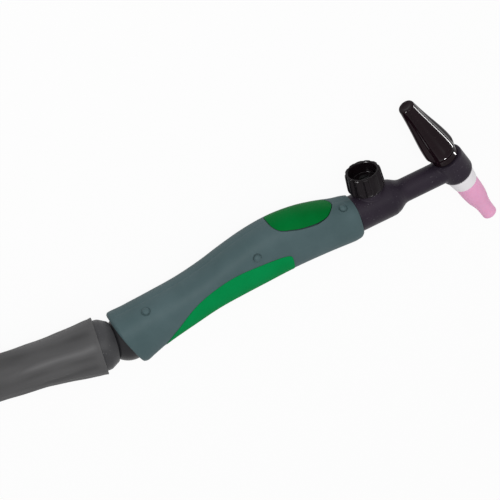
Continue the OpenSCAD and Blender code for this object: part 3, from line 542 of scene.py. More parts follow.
COVER = [(-145.7, -12.6, 19), (-151.6, -11.6, 19), (-159.5, -10.3, 19), (-169.4, -8.6, 18.7),
         (-179.2, -7, 18.2), (-189, -5.3, 17.6), (-203, -3, 17.2)]
COVER += [(x, y, 17) for x, y in (
    (-225, 1), (-255, 6), (-285, 11), (-315, 16), (-345, 21), (-380, 26), (-411, 31), (-441, 37),
    (-470, 48), (-497, 65), (-520, 89), (-537, 117), (-547, 149), (-550, 182), (-545, 215), (-533, 247),
    (-513, 275), (-488, 301), (-459, 319), (-427, 330), (-394, 332), (-361, 327), (-331, 313))]
CLOSING = [0, 0.07, 0.31, 0.56, 0.76, 0.89, 0.96, 1]  # share of the taper done at each of the first points
MOUTH_R, COVER_R, COVER_WALL = 21.5, 17.0, 1.5
MOUTH_RAKE = 4.0
HOLLOW = 27  # how far in the cover's mouth is open
COVER_SIDES = 96
# Angle round the cover (0 is its lower edge, 90 its back), turn per mm, width, rise in mm, first and last mm
CREASES = [
    (128, -0.10, 9, 0.9, 0, 42), (108, -0.16, 9, -0.7, 3, 46), (84, -0.30, 9, -0.9, 2, 34),
    (62, -0.10, 8, 0.5, 1, 26), (160, 0.10, 10, -0.6, 2, 58), (185, 0.0, 10, 0.5, 0, 60),
    (52, 0.0, 8, -0.4, 6, 60), (300, 0.1, 12, -0.6, 4, 70), (230, -0.1, 11, -0.6, 8, 80),
]
SEAM = 336  # angle of the lapped seam, on the outside of the cover's bend
CABLE_R = 8.0
CABLE = [(-295, 291, 9), (-286, 271, 8), (-281, 248, 8), (-279, 224, 8), (-280, 204, 8), (-283, 188, 8)]
COIL = (-400, 180)
COIL_TURNS, COIL_CLIMB = 5, 0.5  # turns in two layers, and the part of a turn that climbs between them
COIL_OUTER, COIL_PITCH, COIL_LAYER = 108.0, 17.2, 16.6
COIL_START = -20.0  # angle where the cable comes in
LEAD = [
    (-311, 113.5, 25.2), (-326, 97, 28), (-348, 83, 32.6), (-375, 74, 38), (-405, 72, 42), (-434, 77, 43),
    (-460, 90, 43.4), (-479, 109, 44.4), (-490, 131, 45.6), (-494, 150, 47.2), (-495, 168, 48),
    (-495, 180, 48),
]


def runs(points):
    made = [0.0]
    for a, b in zip(points, points[1:]):
        made.append(made[-1] + (Vector(b) - Vector(a)).length)
    return made


def between(xs, ys, x):
    for i in range(len(xs) - 1):
        if x <= xs[i + 1]:
            t = (x - xs[i]) / (xs[i + 1] - xs[i])
            return ys[i] + (ys[i + 1] - ys[i]) * max(t, 0.0)
    return ys[-1]


def smooth(t):
    t = min(max(t, 0.0), 1.0)
    return t * t * (3 - 2 * t)


COVER_RUN = runs(COVER)


def cover_radius(run):
    share = between(COVER_RUN[:8], CLOSING, run)
    return MOUTH_R + (COVER_R - MOUTH_R) * share


def cover_fold(run, a):
    """Height of the soft folds, in mm."""
    spot = Vector((run / 46, 1.3 * math.cos(a), 1.3 * math.sin(a)))
    near = smooth(run / 16) * (1 - 0.45 * smooth((run - 110) / 120))
    fold = 0.9 * near * noise.noise(spot) + 0.4 * near * noise.noise(spot * 2.7)
    turn = math.degrees(a)
    for place, drift, width, rise, first, last in CREASES:
        off = (turn - place - drift * run + 180) % 360 - 180
        fade = smooth((run - first) / 9) * (1 - smooth((run - last) / 30))
        fold += rise * math.exp(-(off / width) ** 2) * fade
    return fold


def cover_surface(run, a, r):
    """Radius and set-back of the cover: folds, a worn wavy mouth and the lapped seam."""
    rake = MOUTH_RAKE * max(math.cos(a - math.radians(127)), 0) * max(1 - run / 14, 0) ** 2
    wave = 0.35 * math.sin(3 * a + 0.7) * max(1 - run / 10, 0) * (run > 0)
    off = (math.degrees(a) - SEAM + 180) % 360 - 180
    lap = 0.7 * smooth((off + 7) / 4) * (1 - smooth((off - 16) / 24)) * smooth(run / 4)
    rolled = 0.45 * (1 - smooth((run - 1.2) / 1.6))
    return r + cover_fold(run, a) + lap + rolled - 0.35, rake + wave


def cover_rings(path, inset, surface=cover_surface):
    """Rings along the cover, set in from its outer face."""
    verts, _ = hose(path, lambda run: cover_radius(run) - inset, COVER_SIDES, surface, False)
    return [verts[i:i + COVER_SIDES] for i in range(0, len(verts), COVER_SIDES)]


def lip_surface(run, a, r):
    out, back = cover_surface(run, a, r)
    return out, back - 0.35


def cable_cover():
    """Leather sleeve, hollow at its mouth, with its painted highlight and shade stored on its points."""
    path = curve_through(COVER, 2.5)
    length = runs(path)
    inside = sum(run < HOLLOW for run in length)
    rings = cover_rings(path[:inside], COVER_WALL)[::-1]
    rings += cover_rings(path[:2], COVER_WALL / 2, lip_surface)[:1] + cover_rings(path, 0)
    obj = piece("cover", *skin(rings), "cable", "cover_grey", ("cable_cover",), 50)
    # Painted shade inside the mouth's hollow, painted highlight on the lip and along the rim, and painted
    # highlight and shade that follow the folds.
    painted_light = [-0.6] * (inside * COVER_SIDES) + [0.5] * COVER_SIDES
    for run in length:
        rim = 0.4 * (1 - smooth(run / 3))
        painted_light += [cover_fold(run, a) + rim for a in around(COVER_SIDES)]
    obj.data.attributes.new("painted_light", "FLOAT", "POINT").data.foreach_set("value", painted_light)
    return obj, path


def stitches():
    """Two rows of thread along the lapped seam."""
    path = curve_through(COVER, 7.0)
    length = runs(path)
    parts = []
    for i in range(1, len(path) - 1):
        ahead, left, up = frame_at(path, i)
        for angle in (SEAM, SEAM + 9):
            a = math.radians(angle)
            out = left * math.cos(a) + up * math.sin(a)
            r = cover_surface(length[i], a, cover_radius(length[i]))[0]
            across = ahead.cross(out)
            rings = []
            for k in range(7):
                s = k / 3 - 1
                thick = 0.42 * math.sqrt(max(1 - s * s, 0.02))
                rings.append([path[i] + out * (r + 0.1 - 0.5 * s * s + thick * math.sin(b))
                              + ahead * (1.9 * s) + across * (thick * math.cos(b)) for b in around(8)])
            parts.append(skin(rings))
    return piece("cover_stitches", *merged(parts), "cable", "cover_grey", ("cable_cover",), 60)


def coil_point(t):
    way_in = (COIL_TURNS - COIL_CLIMB) / 2
    s = t - way_in
    if s < 0:
        r = COIL_OUTER - COIL_PITCH * t
    elif s < COIL_CLIMB:
        r = COIL_OUTER - COIL_PITCH * (way_in + s - s * s / COIL_CLIMB)
    else:
        r = COIL_OUTER - COIL_PITCH * (COIL_TURNS - t)
    a = math.radians(COIL_START - 360 * t)
    height = CABLE_R + COIL_LAYER * smooth(s / COIL_CLIMB)
    return Vector((COIL[0] + r * math.cos(a), COIL[1] + r * math.sin(a), height))


def cable_path():
    first, last = coil_point(0), coil_point(COIL_TURNS)
    way = unit(coil_point(1 / 24) - coil_point(-1 / 24))
    out = unit(coil_point(COIL_TURNS + 1 / 24) - coil_point(COIL_TURNS - 1 / 24))
    d = 2 * CABLE_R
    start = curve_through(CABLE + [first - way * (2 * d), first - way * d, first], 5.0)
    turns = [coil_point(k / 96) for k in range(1, 96 * COIL_TURNS)]
    end = curve_through([last, last + out * d, last + out * (d + 6)] + LEAD, 5.0)
    return start + turns + end


def cable():
    path = cable_path()
    stands_for = ("power_cable", "cable_coil", "plug_lead")
    return piece("cable", *hose(path, CABLE_R, 20), "cable", "cable_black", stands_for, 60), path


def ribs(run, first, last, pitch, depth):
    """Depth of the grooves between ribs."""
    if not first < run < last:
        return 0.0
    part = ((run - first) / pitch) % 1.0
    return depth * smooth(part / 0.22) * (1 - smooth((part - 0.5) / 0.22))


def boot_between():
    """Tapered boot from the cover to the bare cable."""
    end, before = Vector(COVER[-1]), Vector(COVER[-2])
    far = Vector(CABLE[0])
    way = unit(end - before)
    path = curve_through([end + way * SEAT, end + way * 8, (end + far * 2) / 3, far], 0.6)
    last = runs(path)[-1]

    def radius(run):
        taper = between([0, 8, last * 0.7, last], [17.6, 17.2, 11.6, 9.8], run)
        return taper - ribs(run, 11, last - 3, 4.2, 1.3)

    return piece("cover_boot_piece", *hose(path, radius, 64), "cable", "plug_black", ("cover_boot",), 40)


PLUG = Vector((-495, 180, 48))
ON_PLUG = spindle(PLUG, (0, 1, 0))
PLUG_BOOT_H, PLUG_BODY_H = 22.0, 46.0


def plug_boot():
    profile = [(8.02, 0), (9, 0)]
    for k in range(4):
        h = 2.4 + k * 4.6
        r = 9.2 + 2.4 * h / PLUG_BOOT_H
        profile += [(r, h), (r - 1.1, h + 0.5), (r - 1.0, h + 2.0), (r + 0.4, h + 2.5)]
    profile += [(11.6, PLUG_BOOT_H), (8.02, PLUG_BOOT_H)]
    return turned("plug_relief", profile, ON_PLUG, "cable", "plug_black", ("plug_boot",), 0.3, 64)


def plug_body():
    """Waisted grip with ribs round its waist and a hole for the pin."""
    base = PLUG_BOOT_H + SEAT
    rows = [(0.02, 0), (12, 0, 1.5), (14, 2, 1.5), (14, 12, 1.5), (13, 14, 1.5), (13, 30, 2), (15, 33, 2),
            (15, 45, 0.8), (14, PLUG_BODY_H, 0.8), (0.02, PLUG_BODY_H)]
    profile = rounded([(r, h + base, *more) for r, h, *more in rows], 0.4, 3)
    fine = subdivided(profile, False, 1.0, lambda across, along: along)

    def grip(r, h, a):
        if r < 12.4:
            return r
        held = smooth((h - base - 13) / 2) * (1 - smooth((h - base - 29) / 2))
        return r + held * 0.45 * math.cos(18 * a)

    obj = solid("plug_grip", *lathe(fine, ON_PLUG, 216, grip), 0.002)
    carve(obj, *rod(ON_PLUG, 5.55, base + 34, base + PLUG_BODY_H + 1, 40))
    return dress(obj, "cable", "plug_black", ("plug_body",), 40)


def cable_strap(number, angle):
    """Woven strap round the coil, its end lapped on top."""
    place = Matrix.Translation((COIL[0], COIL[1], 0)) @ Matrix.Rotation(math.radians(angle), 4, "Z")
    low, high, top, bend, thick = 58.3, 117.0, 33.2, 9.0, 1.2
    half, chamfer = 6.0, 0.25
    corners = [(low + bend, 0, 180, 270), (high - bend, 0, 270, 360), (high - bend, top, 0, 90),
               (low + bend, top, 90, 180)]
    edge = [(chamfer, -half), (0, -half + 0.5), (0, half - 0.5), (chamfer, half), (thick, half),
            (thick, -half)]
    rings = []
    for x, z, first, last in corners:
        cz = bend if z == 0 else top - bend
        for k in range(9):
            a = math.radians(first + (last - first) * k / 8)
            c, s = math.cos(a), math.sin(a)
            rings.append([place @ Vector((x + bend * c - c * t, y, cz + bend * s - s * t)) for t, y in edge])
    half -= 0.2
    laps = []
    for k in range(15):
        x = low + bend + 4 + k * 2.0
        lift = 1.1 if 0 < k < 14 else 0.2
        edge = [(lift - chamfer, -half), (lift, -half + 0.5), (lift, half - 0.5), (lift - chamfer, half),
                (-0.1, half), (-0.1, -half)]
        laps.append([place @ Vector((x, y, top + z)) for z, y in edge])
    band = merged([loop_skin(rings), skin(laps)])
    return piece(f"strap_{number}", *band, "cable", "strap_black", ("cable_ties",), 40)


def lay_cords():
    """Both cords, each with the pieces that go with it."""
    cover, cover_path = cable_cover()
    boot = boot_between()
    seam = stitches()
    line, path = cable()
    ends = [plug_boot(), plug_body(), cable_strap(1, 240), cable_strap(2, 60)]
    ends += [bpy.data.objects[name] for name in ("plug_pin", "plug_contacts")]


lay_cords()


# ------------------------ handle

# Distance behind the head, then height of top and bottom and half the width
HANDLE_ROWS = [
    (84.5, 14.6, -15.2, 14.6), (86, 15.0, -16.6, 15.4), (88, 15.6, -17.1, 15.9), (92, 16.7, -17.5, 16.1),
    (96, 17.7, -17.2, 16.3), (110, 22.8, -16.1, 16.8), (126, 27.0, -15.3, 17.2), (145, 29.0, -15.0, 17.2),
    (165, 27.5, -15.6, 17.2), (185, 23.2, -16.1, 17.2), (205, 17.7, -17.0, 17.3), (225, 14.1, -20.2, 17.6),
    (250, 12.3, -25.1, 18.2), (262, 11.8, -29.2, 18.6), (268, 11.5, -31.4, 18.8), (272.5, 11.3, -29.8, 19.0),
    (278, 11.2, -28.0, 19.0), (282, 10.4, -27.0, 19.0), (285, 8.0, -26.0, 18.4), (292, 4.0, -25.0, 17.0),
]
SQUARENESS = 2.6  # power of the section's superellipse; 2 is round
WALL = 3.0
BALL_X, BALL_HEIGHT = 274.0, -10.2
SOCKET_R, SOCKET_NECK = 17.7, 13.0
SPIGOT_R = 12.4
BUTTON_GAP = 0.6  # all round the button
PAD_DEPTH, PAD_PROUD = 1.4, 0.3
HALF_STEPS = 40


def along_rows(rows, x, column=1):
    """Smooth curve through rows of numbers: a column against the first one."""
    i = 0
    while i < len(rows) - 2 and x >= rows[i + 1][0]:
        i += 1

    def slope(k):
        a, b = max(k - 1, 0), min(k + 1, len(rows) - 1)
        return (rows[b][column] - rows[a][column]) / (rows[b][0] - rows[a][0])

    h = rows[i + 1][0] - rows[i][0]
    return hermite((x - rows[i][0]) / h, rows[i][column], slope(i) * h, rows[i + 1][column], slope(i + 1) * h)


def section(mid, up, out, a, power):
    """Height and half width of a superellipse at an angle."""
    s, c = math.sin(a), math.cos(a)
    return mid + up * math.copysign(abs(s) ** (2 / power), s), out * math.copysign(abs(c) ** (2 / power), c)


def on_handle(x, grow, a):
    """Point of the handle's outer face, grown outward by a distance."""
    top, bottom, half = (along_rows(HANDLE_ROWS, x, column) for column in (1, 2, 3))
    return section((top + bottom) / 2, (top - bottom) / 2 + grow, half + grow, a, SQUARENESS)


def in_handle(x, a):
    """Point of the hollow inside: round at both ends, following the outer face between them."""
    if x < 96.5:
        return section(0, SPIGOT_R - 1, SPIGOT_R - 1, a, 2)
    if x > BALL_X - SOCKET_R - WALL:
        return section(BALL_HEIGHT, SOCKET_NECK, SOCKET_NECK, a, 2)
    return on_handle(x, -WALL, a)


def span(low, high, step):
    count = max(1, round((high - low) / step))
    return [low + (high - low) * k / count for k in range(count + 1)]


HALF_ANGLES = [math.pi * (k / HALF_STEPS - 0.5) for k in range(HALF_STEPS + 1)]
PAD_XS = span(134, 254, 2.0)
RIM_TOP, RIM_BOTTOM = Vector((283.4, 12)), Vector((269.8, -33))
RIM = (RIM_TOP - RIM_BOTTOM).normalized()
RIM_BACK = Vector((RIM.y, -RIM.x))


def rim_inset(x, a):
    """How far the shell draws in towards its oblique rear rim, most at the top."""
    bend = 0.85 + 2.9 * max(math.sin(a), 0) ** 2
    ahead = (RIM_BOTTOM - Vector((x, on_handle(x, 0, a)[0]))).dot(RIM_BACK)
    ahead = min(max(ahead, 0.0), bend)
    return bend - math.sqrt(bend ** 2 - (bend - ahead) ** 2)


def half_loft(xs, left, outer, inner=None):
    """Half of the handle between two faces grown by given distances, or as far in as its own hollow."""
    rings = []
    whole = inner is None
    for x in xs:
        outside = [on_handle(x, outer - (rim_inset(x, a) if whole else 0), a) for a in HALF_ANGLES]
        inside = [in_handle(x, a) if whole else on_handle(x, inner, a) for a in HALF_ANGLES]
        rings.append([side(x, height, left * n) for height, n in outside + inside[::-1]])
    return skin(rings)


BUTTON_LOW = [(149.2, 28.4), (147.2, 26.6), (145, 25.2), (141.7, 23.9), (138.2, 22.9), (131, 20.8),
              (124.3, 19.5), (116.7, 18.3), (110, 17.8), (106, 17.8)]
BUTTON_PLAN = [(99.6, 0), (99.9, 2.4), (100.9, 4.6), (102.8, 7.2), (105.1, 9.8), (107.4, 11.6), (110, 12.7),
               (114.5, 13.8), (119, 14.6), (124, 15.8), (130, 18)]
BUTTON_FRONT, BUTTON_REAR, BUTTON_FOOT = 99.6, 150, 17.8
PIVOT = (146.0, 21.0)
PRESS = math.sin(math.radians(1.2))  # how far the button goes down, per mm from its pivot


def smooth_line(points):
    return [(p.x, p.y) for p in curve_through([(x, y, 0) for x, y in points], 1.2)]


def offset_line(line, shift):
    """Line moved sideways by a distance."""
    made = []
    for i, (x, y) in enumerate(line):
        a, b = line[max(i - 1, 0)], line[min(i + 1, len(line) - 1)]
        way = Vector((b[0] - a[0], b[1] - a[1])).normalized()
        made.append((x + shift * way.y, y - shift * way.x))
    return made


def button_line(gap, sink):
    """Side view of the button, grown by a gap, with room below for going down."""
    low = [(x, y - gap - sink * (PIVOT[0] - x)) for x, y in smooth_line(BUTTON_LOW)]
    front, rear = BUTTON_FRONT - gap, BUTTON_REAR + 3 * gap
    foot = BUTTON_FOOT - gap - sink * (PIVOT[0] - 102)
    return [(rear, 60), (rear, 31)] + low + [(102 - gap, foot), (front, foot), (front, 60)]


def button_block(gap, sink):
    """The button's outline from the side, with its front corners rounded as seen from above."""
    edge = offset_line(smooth_line(BUTTON_PLAN), -gap)
    tip, half = (edge[0][0], 0), edge[1:] + [(160, 24)]
    plan = [(x, -n) for x, n in reversed(half)] + [tip] + half
    block = solid("block", *prism(button_line(gap, sink)))
    carve(block, *skin([[side(x, height, n) for x, n in plan] for height in (10, 50)]), "INTERSECT")
    return block


PAD_EDGE = [
    (142.8, -1), (143.6, 3.2), (149.4, 5.8), (157, 6.9), (168.5, 8), (182.6, 8.8), (195, 7.9), (204, 6.2),
    (212, 4.2), (220, 1.4), (229, -3.2), (237.5, -9), (247, -16), (251.5, -20.5),
]


def pad_line(inset):
    """Side view of the pad, open at its lower edge."""
    edge = smooth_line(PAD_EDGE)
    return [(edge[0][0] + inset, -40)] + offset_line(edge, inset) + [(edge[-1][0] - inset, -40)]


def prism(outline, low=-60.0, high=60.0):
    """Side-view outline drawn out across the handle."""
    return skin([[side(x, y, n) for x, y in outline] for n in (low, high)])


def bar(x, y, r, low, high, sides=48):
    """Round bar across the handle."""
    return prism([(x + r * math.cos(a), y + r * math.sin(a)) for a in around(sides)], low, high)


def ball_tool(centre, r, steps=64):
    rings = []
    for k in range(steps // 2 + 1):
        b = math.pi * k / (steps // 2)
        wide = max(r * math.sin(b), 0.001)
        rings.append([centre + Vector((wide * math.cos(a), wide * math.sin(a), -r * math.cos(b)))
                      for a in around(steps)])
    return skin(rings)


SCREWS = [(122, -10), (166, 17), (238, 0)]
DOTS = [(93.8, 66), (168.3, 20), (256.9, 65)]  # distance behind the head and angle up the section
DOT_R, DOT_H, DOT_SIDES = 2.8, 2.1, 40


def dot_place(x, angle):
    """Spindle that stands out of the left shell's face."""
    a = math.radians(angle)
    centre = side(x, *on_handle(x, 0, a))
    ahead = side(x + 1, *on_handle(x + 1, 0, a)) - centre
    out = side(x, *on_handle(x, 1, a)) - centre
    return spindle(centre, out - ahead * (out.dot(ahead) / ahead.length_squared))


def dot_groove(place):
    """Fine groove round a raised dot."""
    low, high, outer = -0.7, 1.5, DOT_R + 0.8
    return lathe([(DOT_R, low), (outer, low), (outer, high), (DOT_R, high)], place, DOT_SIDES)


def dome(place):
    """Raised dot on the shell's shoulder."""
    arc = [math.pi / 2 * k / 8 for k in range(8)]
    profile = [(DOT_R + 0.02, -1.4)] + [(DOT_R * math.cos(t), DOT_H * math.sin(t)) for t in arc]
    return skin([ring_on(place, r, h, DOT_SIDES) for r, h in profile + [(0.05, DOT_H)]])


def join(obj, parts):
    """Adds loose parts, given as points in mm, to a piece."""
    work = bmesh.new()
    work.from_mesh(obj.data)
    for verts, faces in parts:
        made = [work.verts.new([c * MM for c in v]) for v in verts]
        work.verts.ensure_lookup_table()
        for face in faces:
            work.faces.new([made[i] for i in face])
    work.to_mesh(obj.data)
    work.free()


def shell(name, left, node):
    """Half of the handle: dots are on the left one, screw seats on the right one."""
    front = [84.5, 84.8, 85.2, 85.6, 86, 86.6, 87.3, 88, 89, 90, 92, 94]
    xs = front + span(96, 252, 2.0) + span(253.5, 265, 1.6) + span(265.4, 287, 0.4)
    obj = solid(name, *half_loft(xs, left, 0))
    cut_with(obj, button_block(BUTTON_GAP, PRESS))
    low, high = RIM_BOTTOM - RIM * 40, RIM_TOP + RIM * 40
    carve(obj, *prism([low, high, high + RIM_BACK * 60, low + RIM_BACK * 60]))
    carve(obj, *ball_tool(side(BALL_X, BALL_HEIGHT, 0), SOCKET_R))
    r = SPIGOT_R + SEAT
    carve(obj, *skin([[side(x, r * math.sin(a), r * math.cos(a)) for a in around(64)] for x in (80, 102)]))
    recess = solid("recess", *half_loft(PAD_XS, left, 2, -PAD_DEPTH))
    carve(recess, *prism(pad_line(0.0)), "INTERSECT")
    cut_with(obj, recess)
    places = [dot_place(x, angle) for x, angle in DOTS] if left > 0 else []
    seats = [] if left > 0 else SCREWS
    for x, y in seats:
        carve(obj, *bar(x, y, 3.05, -60, -5))
    for place in places:
        carve(obj, *dot_groove(place))
    ease_edges(obj, 0.16, 2)
    join(obj, [dome(place) for place in places])
    tidy(obj)
    dress(obj, "torch", "handle_grey", (node,), 32)


def grip_pad(name, left, node):
    """Soft pad that fills the shell's recess and stands a little proud."""
    obj = solid(name, *half_loft(PAD_XS, left, PAD_PROUD, SEAT - PAD_DEPTH))
    carve(obj, *prism(pad_line(SEAT + 0.1)), "INTERSECT")
    ease_edges(obj, 0.45, 3)
    dress(obj, "torch", "grip_green", (node,), 32)


def push_button():
    """Long button over the switch, hinged at its rear on a lug."""
    rings = [[side(x, *on_handle(x, 0, a)) for a in around(80)] for x in span(97, 154, 1.5)]
    obj = solid("push_button", *skin(rings))
    cut_with(obj, button_block(0, 0), "INTERSECT")
    ease_edges(obj, 0.45, 3)
    web = [(143, 21), (145.2, 21), (145.2, 25.6), (143, 25.6)]
    join(obj, [bar(*PIVOT, 3, -5, 5, 40), prism(web, -5, 5)])
    tidy(obj)
    dress(obj, "button", "button_green", ("trigger",), 32)


shell("shell_left", 1, "handle_left")
shell("shell_right", -1, "handle_right")
grip_pad("pad_left", 1, "grip_pad_left")
grip_pad("pad_right", -1, "grip_pad_right")
push_button()


# ------------------------ head, cap and nozzle

CAP_FOOT, CAP_TOP = 12.4, 72.4
CAP_LOBES, CAP_SIDES = 6, 144
CAP_TURN = math.radians(40)
# Share of the cap's length and its radius there; from the lobes on, as a share of its taper
CAP_ROWS = [(0, 10.4), (0.08, 10.4), (0.1, 10.9)] + [
    (t, (12.2 + 13.2 * share) / 2) for t, share in (
        (0.135, 0.93), (0.18, 1), (0.325, 0.9), (0.51, 0.65), (0.62, 0.48), (0.8, 0.23), (0.91, 0.1), (1, 0))]


def cap_radius(t, a):
    """Radius at a share of the cap's length and an angle round it."""
    hollow = 2.4 * smooth((t - 0.1) / 0.1) * max(1 - (t - 0.1) / 0.9, 0) ** 0.8
    return along_rows(CAP_ROWS, t) - hollow * max(0.5 + 0.5 * math.cos(CAP_LOBES * (a - CAP_TURN)), 0) ** 1.4


def back_cap():
    """Long tapered cap with six grip hollows that run out towards its flat top."""
    rings = [ring_on(ON_HEAD, r, h, CAP_SIDES) for h, r in (
        (3.2, 0.6), (3.2, 4.6), (3.6, 5.0), (10.4, 5.0), (10.4, 4.2), (11.6, 4.2), (11.6, 5.2),
        (CAP_FOOT, 5.2), (CAP_FOOT, 9.9), (CAP_FOOT + 0.5, 10.4))]

    def lobed(h, t, inset=0.0):
        rings.append([polar(ON_HEAD, cap_radius(t, a) - inset, a, h) for a in around(CAP_SIDES)])

    for k in range(1, 97):
        t = 0.012 + (0.983 - 0.012) * k / 96
        lobed(CAP_FOOT + t * (CAP_TOP - CAP_FOOT), t)
    for drop, inset in ((0.55, 0.12), (0.25, 0.32), (0.06, 0.62), (0, 1.0)):
        lobed(CAP_TOP - drop, 1, inset)
    for drop, r in ((0, 3.4), (0.2, 2.9), (0.35, 2.0), (0.35, 0.4)):
        rings.append(ring_on(ON_HEAD, r, CAP_TOP - drop, CAP_SIDES))
    piece("tapered_cap", *skin(rings), "cap", "cap_black", ("back_cap",), 42)


HEAD_R, HEAD_UP, HEAD_DOWN = 12.75, 12.0, 9.2
NECK_R, HOUSING_R = 9.1, 14.25


def torch_body():
    """One moulding: head barrel, neck, valve housing with its collar, and the spigot in the handle."""
    head = [(0.02, -HEAD_DOWN), (HEAD_R - 3.4, -HEAD_DOWN), (HEAD_R - 2, -8.85), (HEAD_R - 0.9, -8),
            (HEAD_R - 0.25, -6.8), (HEAD_R, -5.6), (HEAD_R, HEAD_UP - 1, 0.8),
            (HEAD_R - 0.3, HEAD_UP - 0.3, 0.3), (HEAD_R - 1, HEAD_UP), (0.02, HEAD_UP)]
    neck = [(0.02, 0), (NECK_R, 0), (NECK_R, 43, 3), (NECK_R + 0.6, 45.4, 2),
            (NECK_R + (HOUSING_R - NECK_R) * 0.75, 50.8, 3), (HOUSING_R - 0.4, 53.8, 2), (HOUSING_R, 55, 1.5),
            (HOUSING_R, 84.45, 0.5), (SPIGOT_R, 84.45, 0.2), (SPIGOT_R, 90, 0.2), (13.6, 90, 0.3),
            (13.6, 93, 0.3), (SPIGOT_R, 93, 0.2), (SPIGOT_R, 101, 0.8), (0.02, 101)]
    collar = [(0.02, 0), (9.5, 0), (9.5, 15.2, 0.6), (0.02, 15.2)]
    obj = solid("head_and_neck", *lathe(rounded(head, 1.2, 5), ON_HEAD, 120), 0.03)
    for profile, place in ((neck, ALONG_NECK), (collar, ON_VALVE)):
        carve(obj, *lathe(rounded(profile, 0.4, 4), place, 120), "UNION")
    remesh = obj.modifiers.new("remesh", "REMESH")
    remesh.mode, remesh.voxel_size = "VOXEL", 0.42 * MM
    soften = obj.modifiers.new("soften", "SMOOTH")
    soften.factor, soften.iterations = 0.5, 9
    settle(obj)
    for place, r, low, high in (
            (ON_HEAD, 8.0 + SEAT, -30, 30), (ON_HEAD, 10.8, HEAD_UP - 0.02, 26),
            (ALONG_NECK, 4.75 + SEAT, 2, VALVE_X), (ALONG_NECK, 5.0 + SEAT, VALVE_X, 120),
            (ON_VALVE, 7.0 + SEAT, -9.05, 40)):
        carve(obj, *rod(place, r, low, high, 72))
    dress(obj, "torch", "body_black", ("torch_body",), 38)


def cup_gasket():
    """White ring between head and nozzle."""
    rows = [(5.1, -HEAD_DOWN - SEAT), (10.9, -HEAD_DOWN - SEAT, 0.5), (10.9, -11.2, 1.2), (10.5, -14.2, 2),
            (9.9, -18.8, 0.8), (9.5, -19.6, 0.3), (7.95, -19.6), (7.95, -11.55), (5.1, -11.55)]
    turned("cup_gasket_ring", rows, ON_HEAD, "torch", "gasket_white", ("cup_gasket",), 0.3, 120)


def nozzle():
    """Slim cup with its shank up in the gasket."""
    foot = -19.65
    outer = [(9.3, foot, 0.4), (9.3, -23.6, 4), (9.1, -29.6, 5), (8.7, -34.8, 5), (8.0, -39.6, 5),
             (7.0, -43.2, 5), (6.3, -46.8, 5), (5.95, -50.0, 5), (5.8, -53.6, 5), (5.8, -59.1, 0.4),
             (5.3, -59.6, 0.4)]
    inner = [(4.3, -59.6, 0.3), (4.0, -59.3, 0.3), (4.0, -53.2, 1.5), (6.05, -35.6, 4), (6.05, -11.6)]
    rows = [(7.9, -11.6), (7.9, foot, 0.1)] + outer + inner
    turned("gas_nozzle", rows, ON_HEAD, "torch", "alumina_pink", ("nozzle",), 0.4, 120)


# ------------------------ gas valve

KNOB_FOOT, KNOB_TOP, KNOB_R = 15.6, 33.0, 14.1
FLUTES, FLUTE_R = 12, 2.5


def knob_flute(r, h, a):
    """Radius inside a scalloped flute that follows the knob's taper."""
    wall = KNOB_R - 0.6 * (h - KNOB_FOOT - 4) / 12
    centre = wall + 1.1
    pitch = 2 * math.pi / FLUTES
    turn = (a + pitch / 2) % pitch - pitch / 2
    across = centre * math.sin(turn)
    if abs(across) >= FLUTE_R or r < 10.5:
        return r
    return min(r, centre * math.cos(turn) - math.sqrt(FLUTE_R ** 2 - across * across))


def valve_knob():
    """Fluted knob with a deep recess in its top."""
    rows = [(2.6, KNOB_FOOT), (10, KNOB_FOOT), (12.2, 16.2, 1), (13.6, 17.8, 1), (KNOB_R, 19.6, 1),
            (13.5, 31.4, 1), (13.1, 32.6, 0.6), (12.3, KNOB_TOP, 0.5), (11.2, KNOB_TOP, 0.3),
            (10.6, 32.3, 0.4), (10.1, 24, 0.6), (2.6, 24)]
    fine = subdivided(rounded(rows, 0.3, 3), True, 0.8, max)
    obj = solid("fluted_knob", *lathe(fine, ON_VALVE, 288, knob_flute), 0.01)
    dress(obj, "valve", "knob_black", ("valve_knob",), 40)


# ------------------------ swivel and hose

def cable_cuff():
    """Cup behind the ball, with the stub that the cover is pulled over."""
    ball, front, bore = 17.9, 12.0, 10.33
    low, high = math.asin(bore / ball), math.acos(front / ball)
    arc = [low + (high - low) * k / 10 for k in range(11)]
    rows = [(15.1, front, 0.3), (15.6, 12.5, 0.4), (18.1, 17.0, 1.4), (18.8, 18.4, 0.8), (19.0, 20.0, 1.0),
            (19.0, 27.0, 0.6), (15.5, 27.0, 0.3), (15.5, 50.0, 0.6), (8.3, 50.0, 0.3), (8.3, 34.6),
            (12.3, 34.6), (12.3, 30.6), (bore, 30.6)]
    rows += [(ball * math.sin(t), ball * math.cos(t), 0) for t in arc]
    turned("swivel_cuff", rows, ALONG_CUFF, "cable", "cuff_grey", ("cable_cuff",), 0.3, 120)


def inner_hose():
    """Braided hose from the valve to the ferrule."""
    line = [(111, 0), (119, 0), (130, -0.6), (150, -2.4), (180, -5), (210, -7.6), (235, -9.4), (250, -10.2),
            (257, -10.2)]
    path = curve_through([side(x, height, 0) for x, height in line], 2.0)

    def braid(run, a, r):
        return r + 0.12 * math.cos(8 * a + run * 0.9) * math.cos(8 * a - run * 0.9), 0.0

    piece("gas_hose", *hose(path, 4.9, 64, braid), "torch", "cable_black", ("inner_hose",), 60)


torch_body()
cup_gasket()
nozzle()
back_cap()
valve_knob()
cable_cuff()
inner_hose()


# ------------------------ turned and pressed parts kept as they are

KEPT = {
    "brass": ("head_core", "valve_body", "valve_stem", "hose_fitting", "plug_pin", "plug_contacts"),
    "copper": ("neck_tube", "collet_body", "collet"),
    "tungsten": ("electrode",),
    "seal_black": ("back_cap_o_ring", "valve_o_ring"),
    "screw_black": ("knob_screw",),
    "steel": ("handle_screws", "trigger_pin", "crimp_ferrule", "swivel_ring"),
    "switch_black": ("microswitch",),
    "plunger_white": ("switch_plunger",),
    "ball_black": ("swivel_ball",),
}


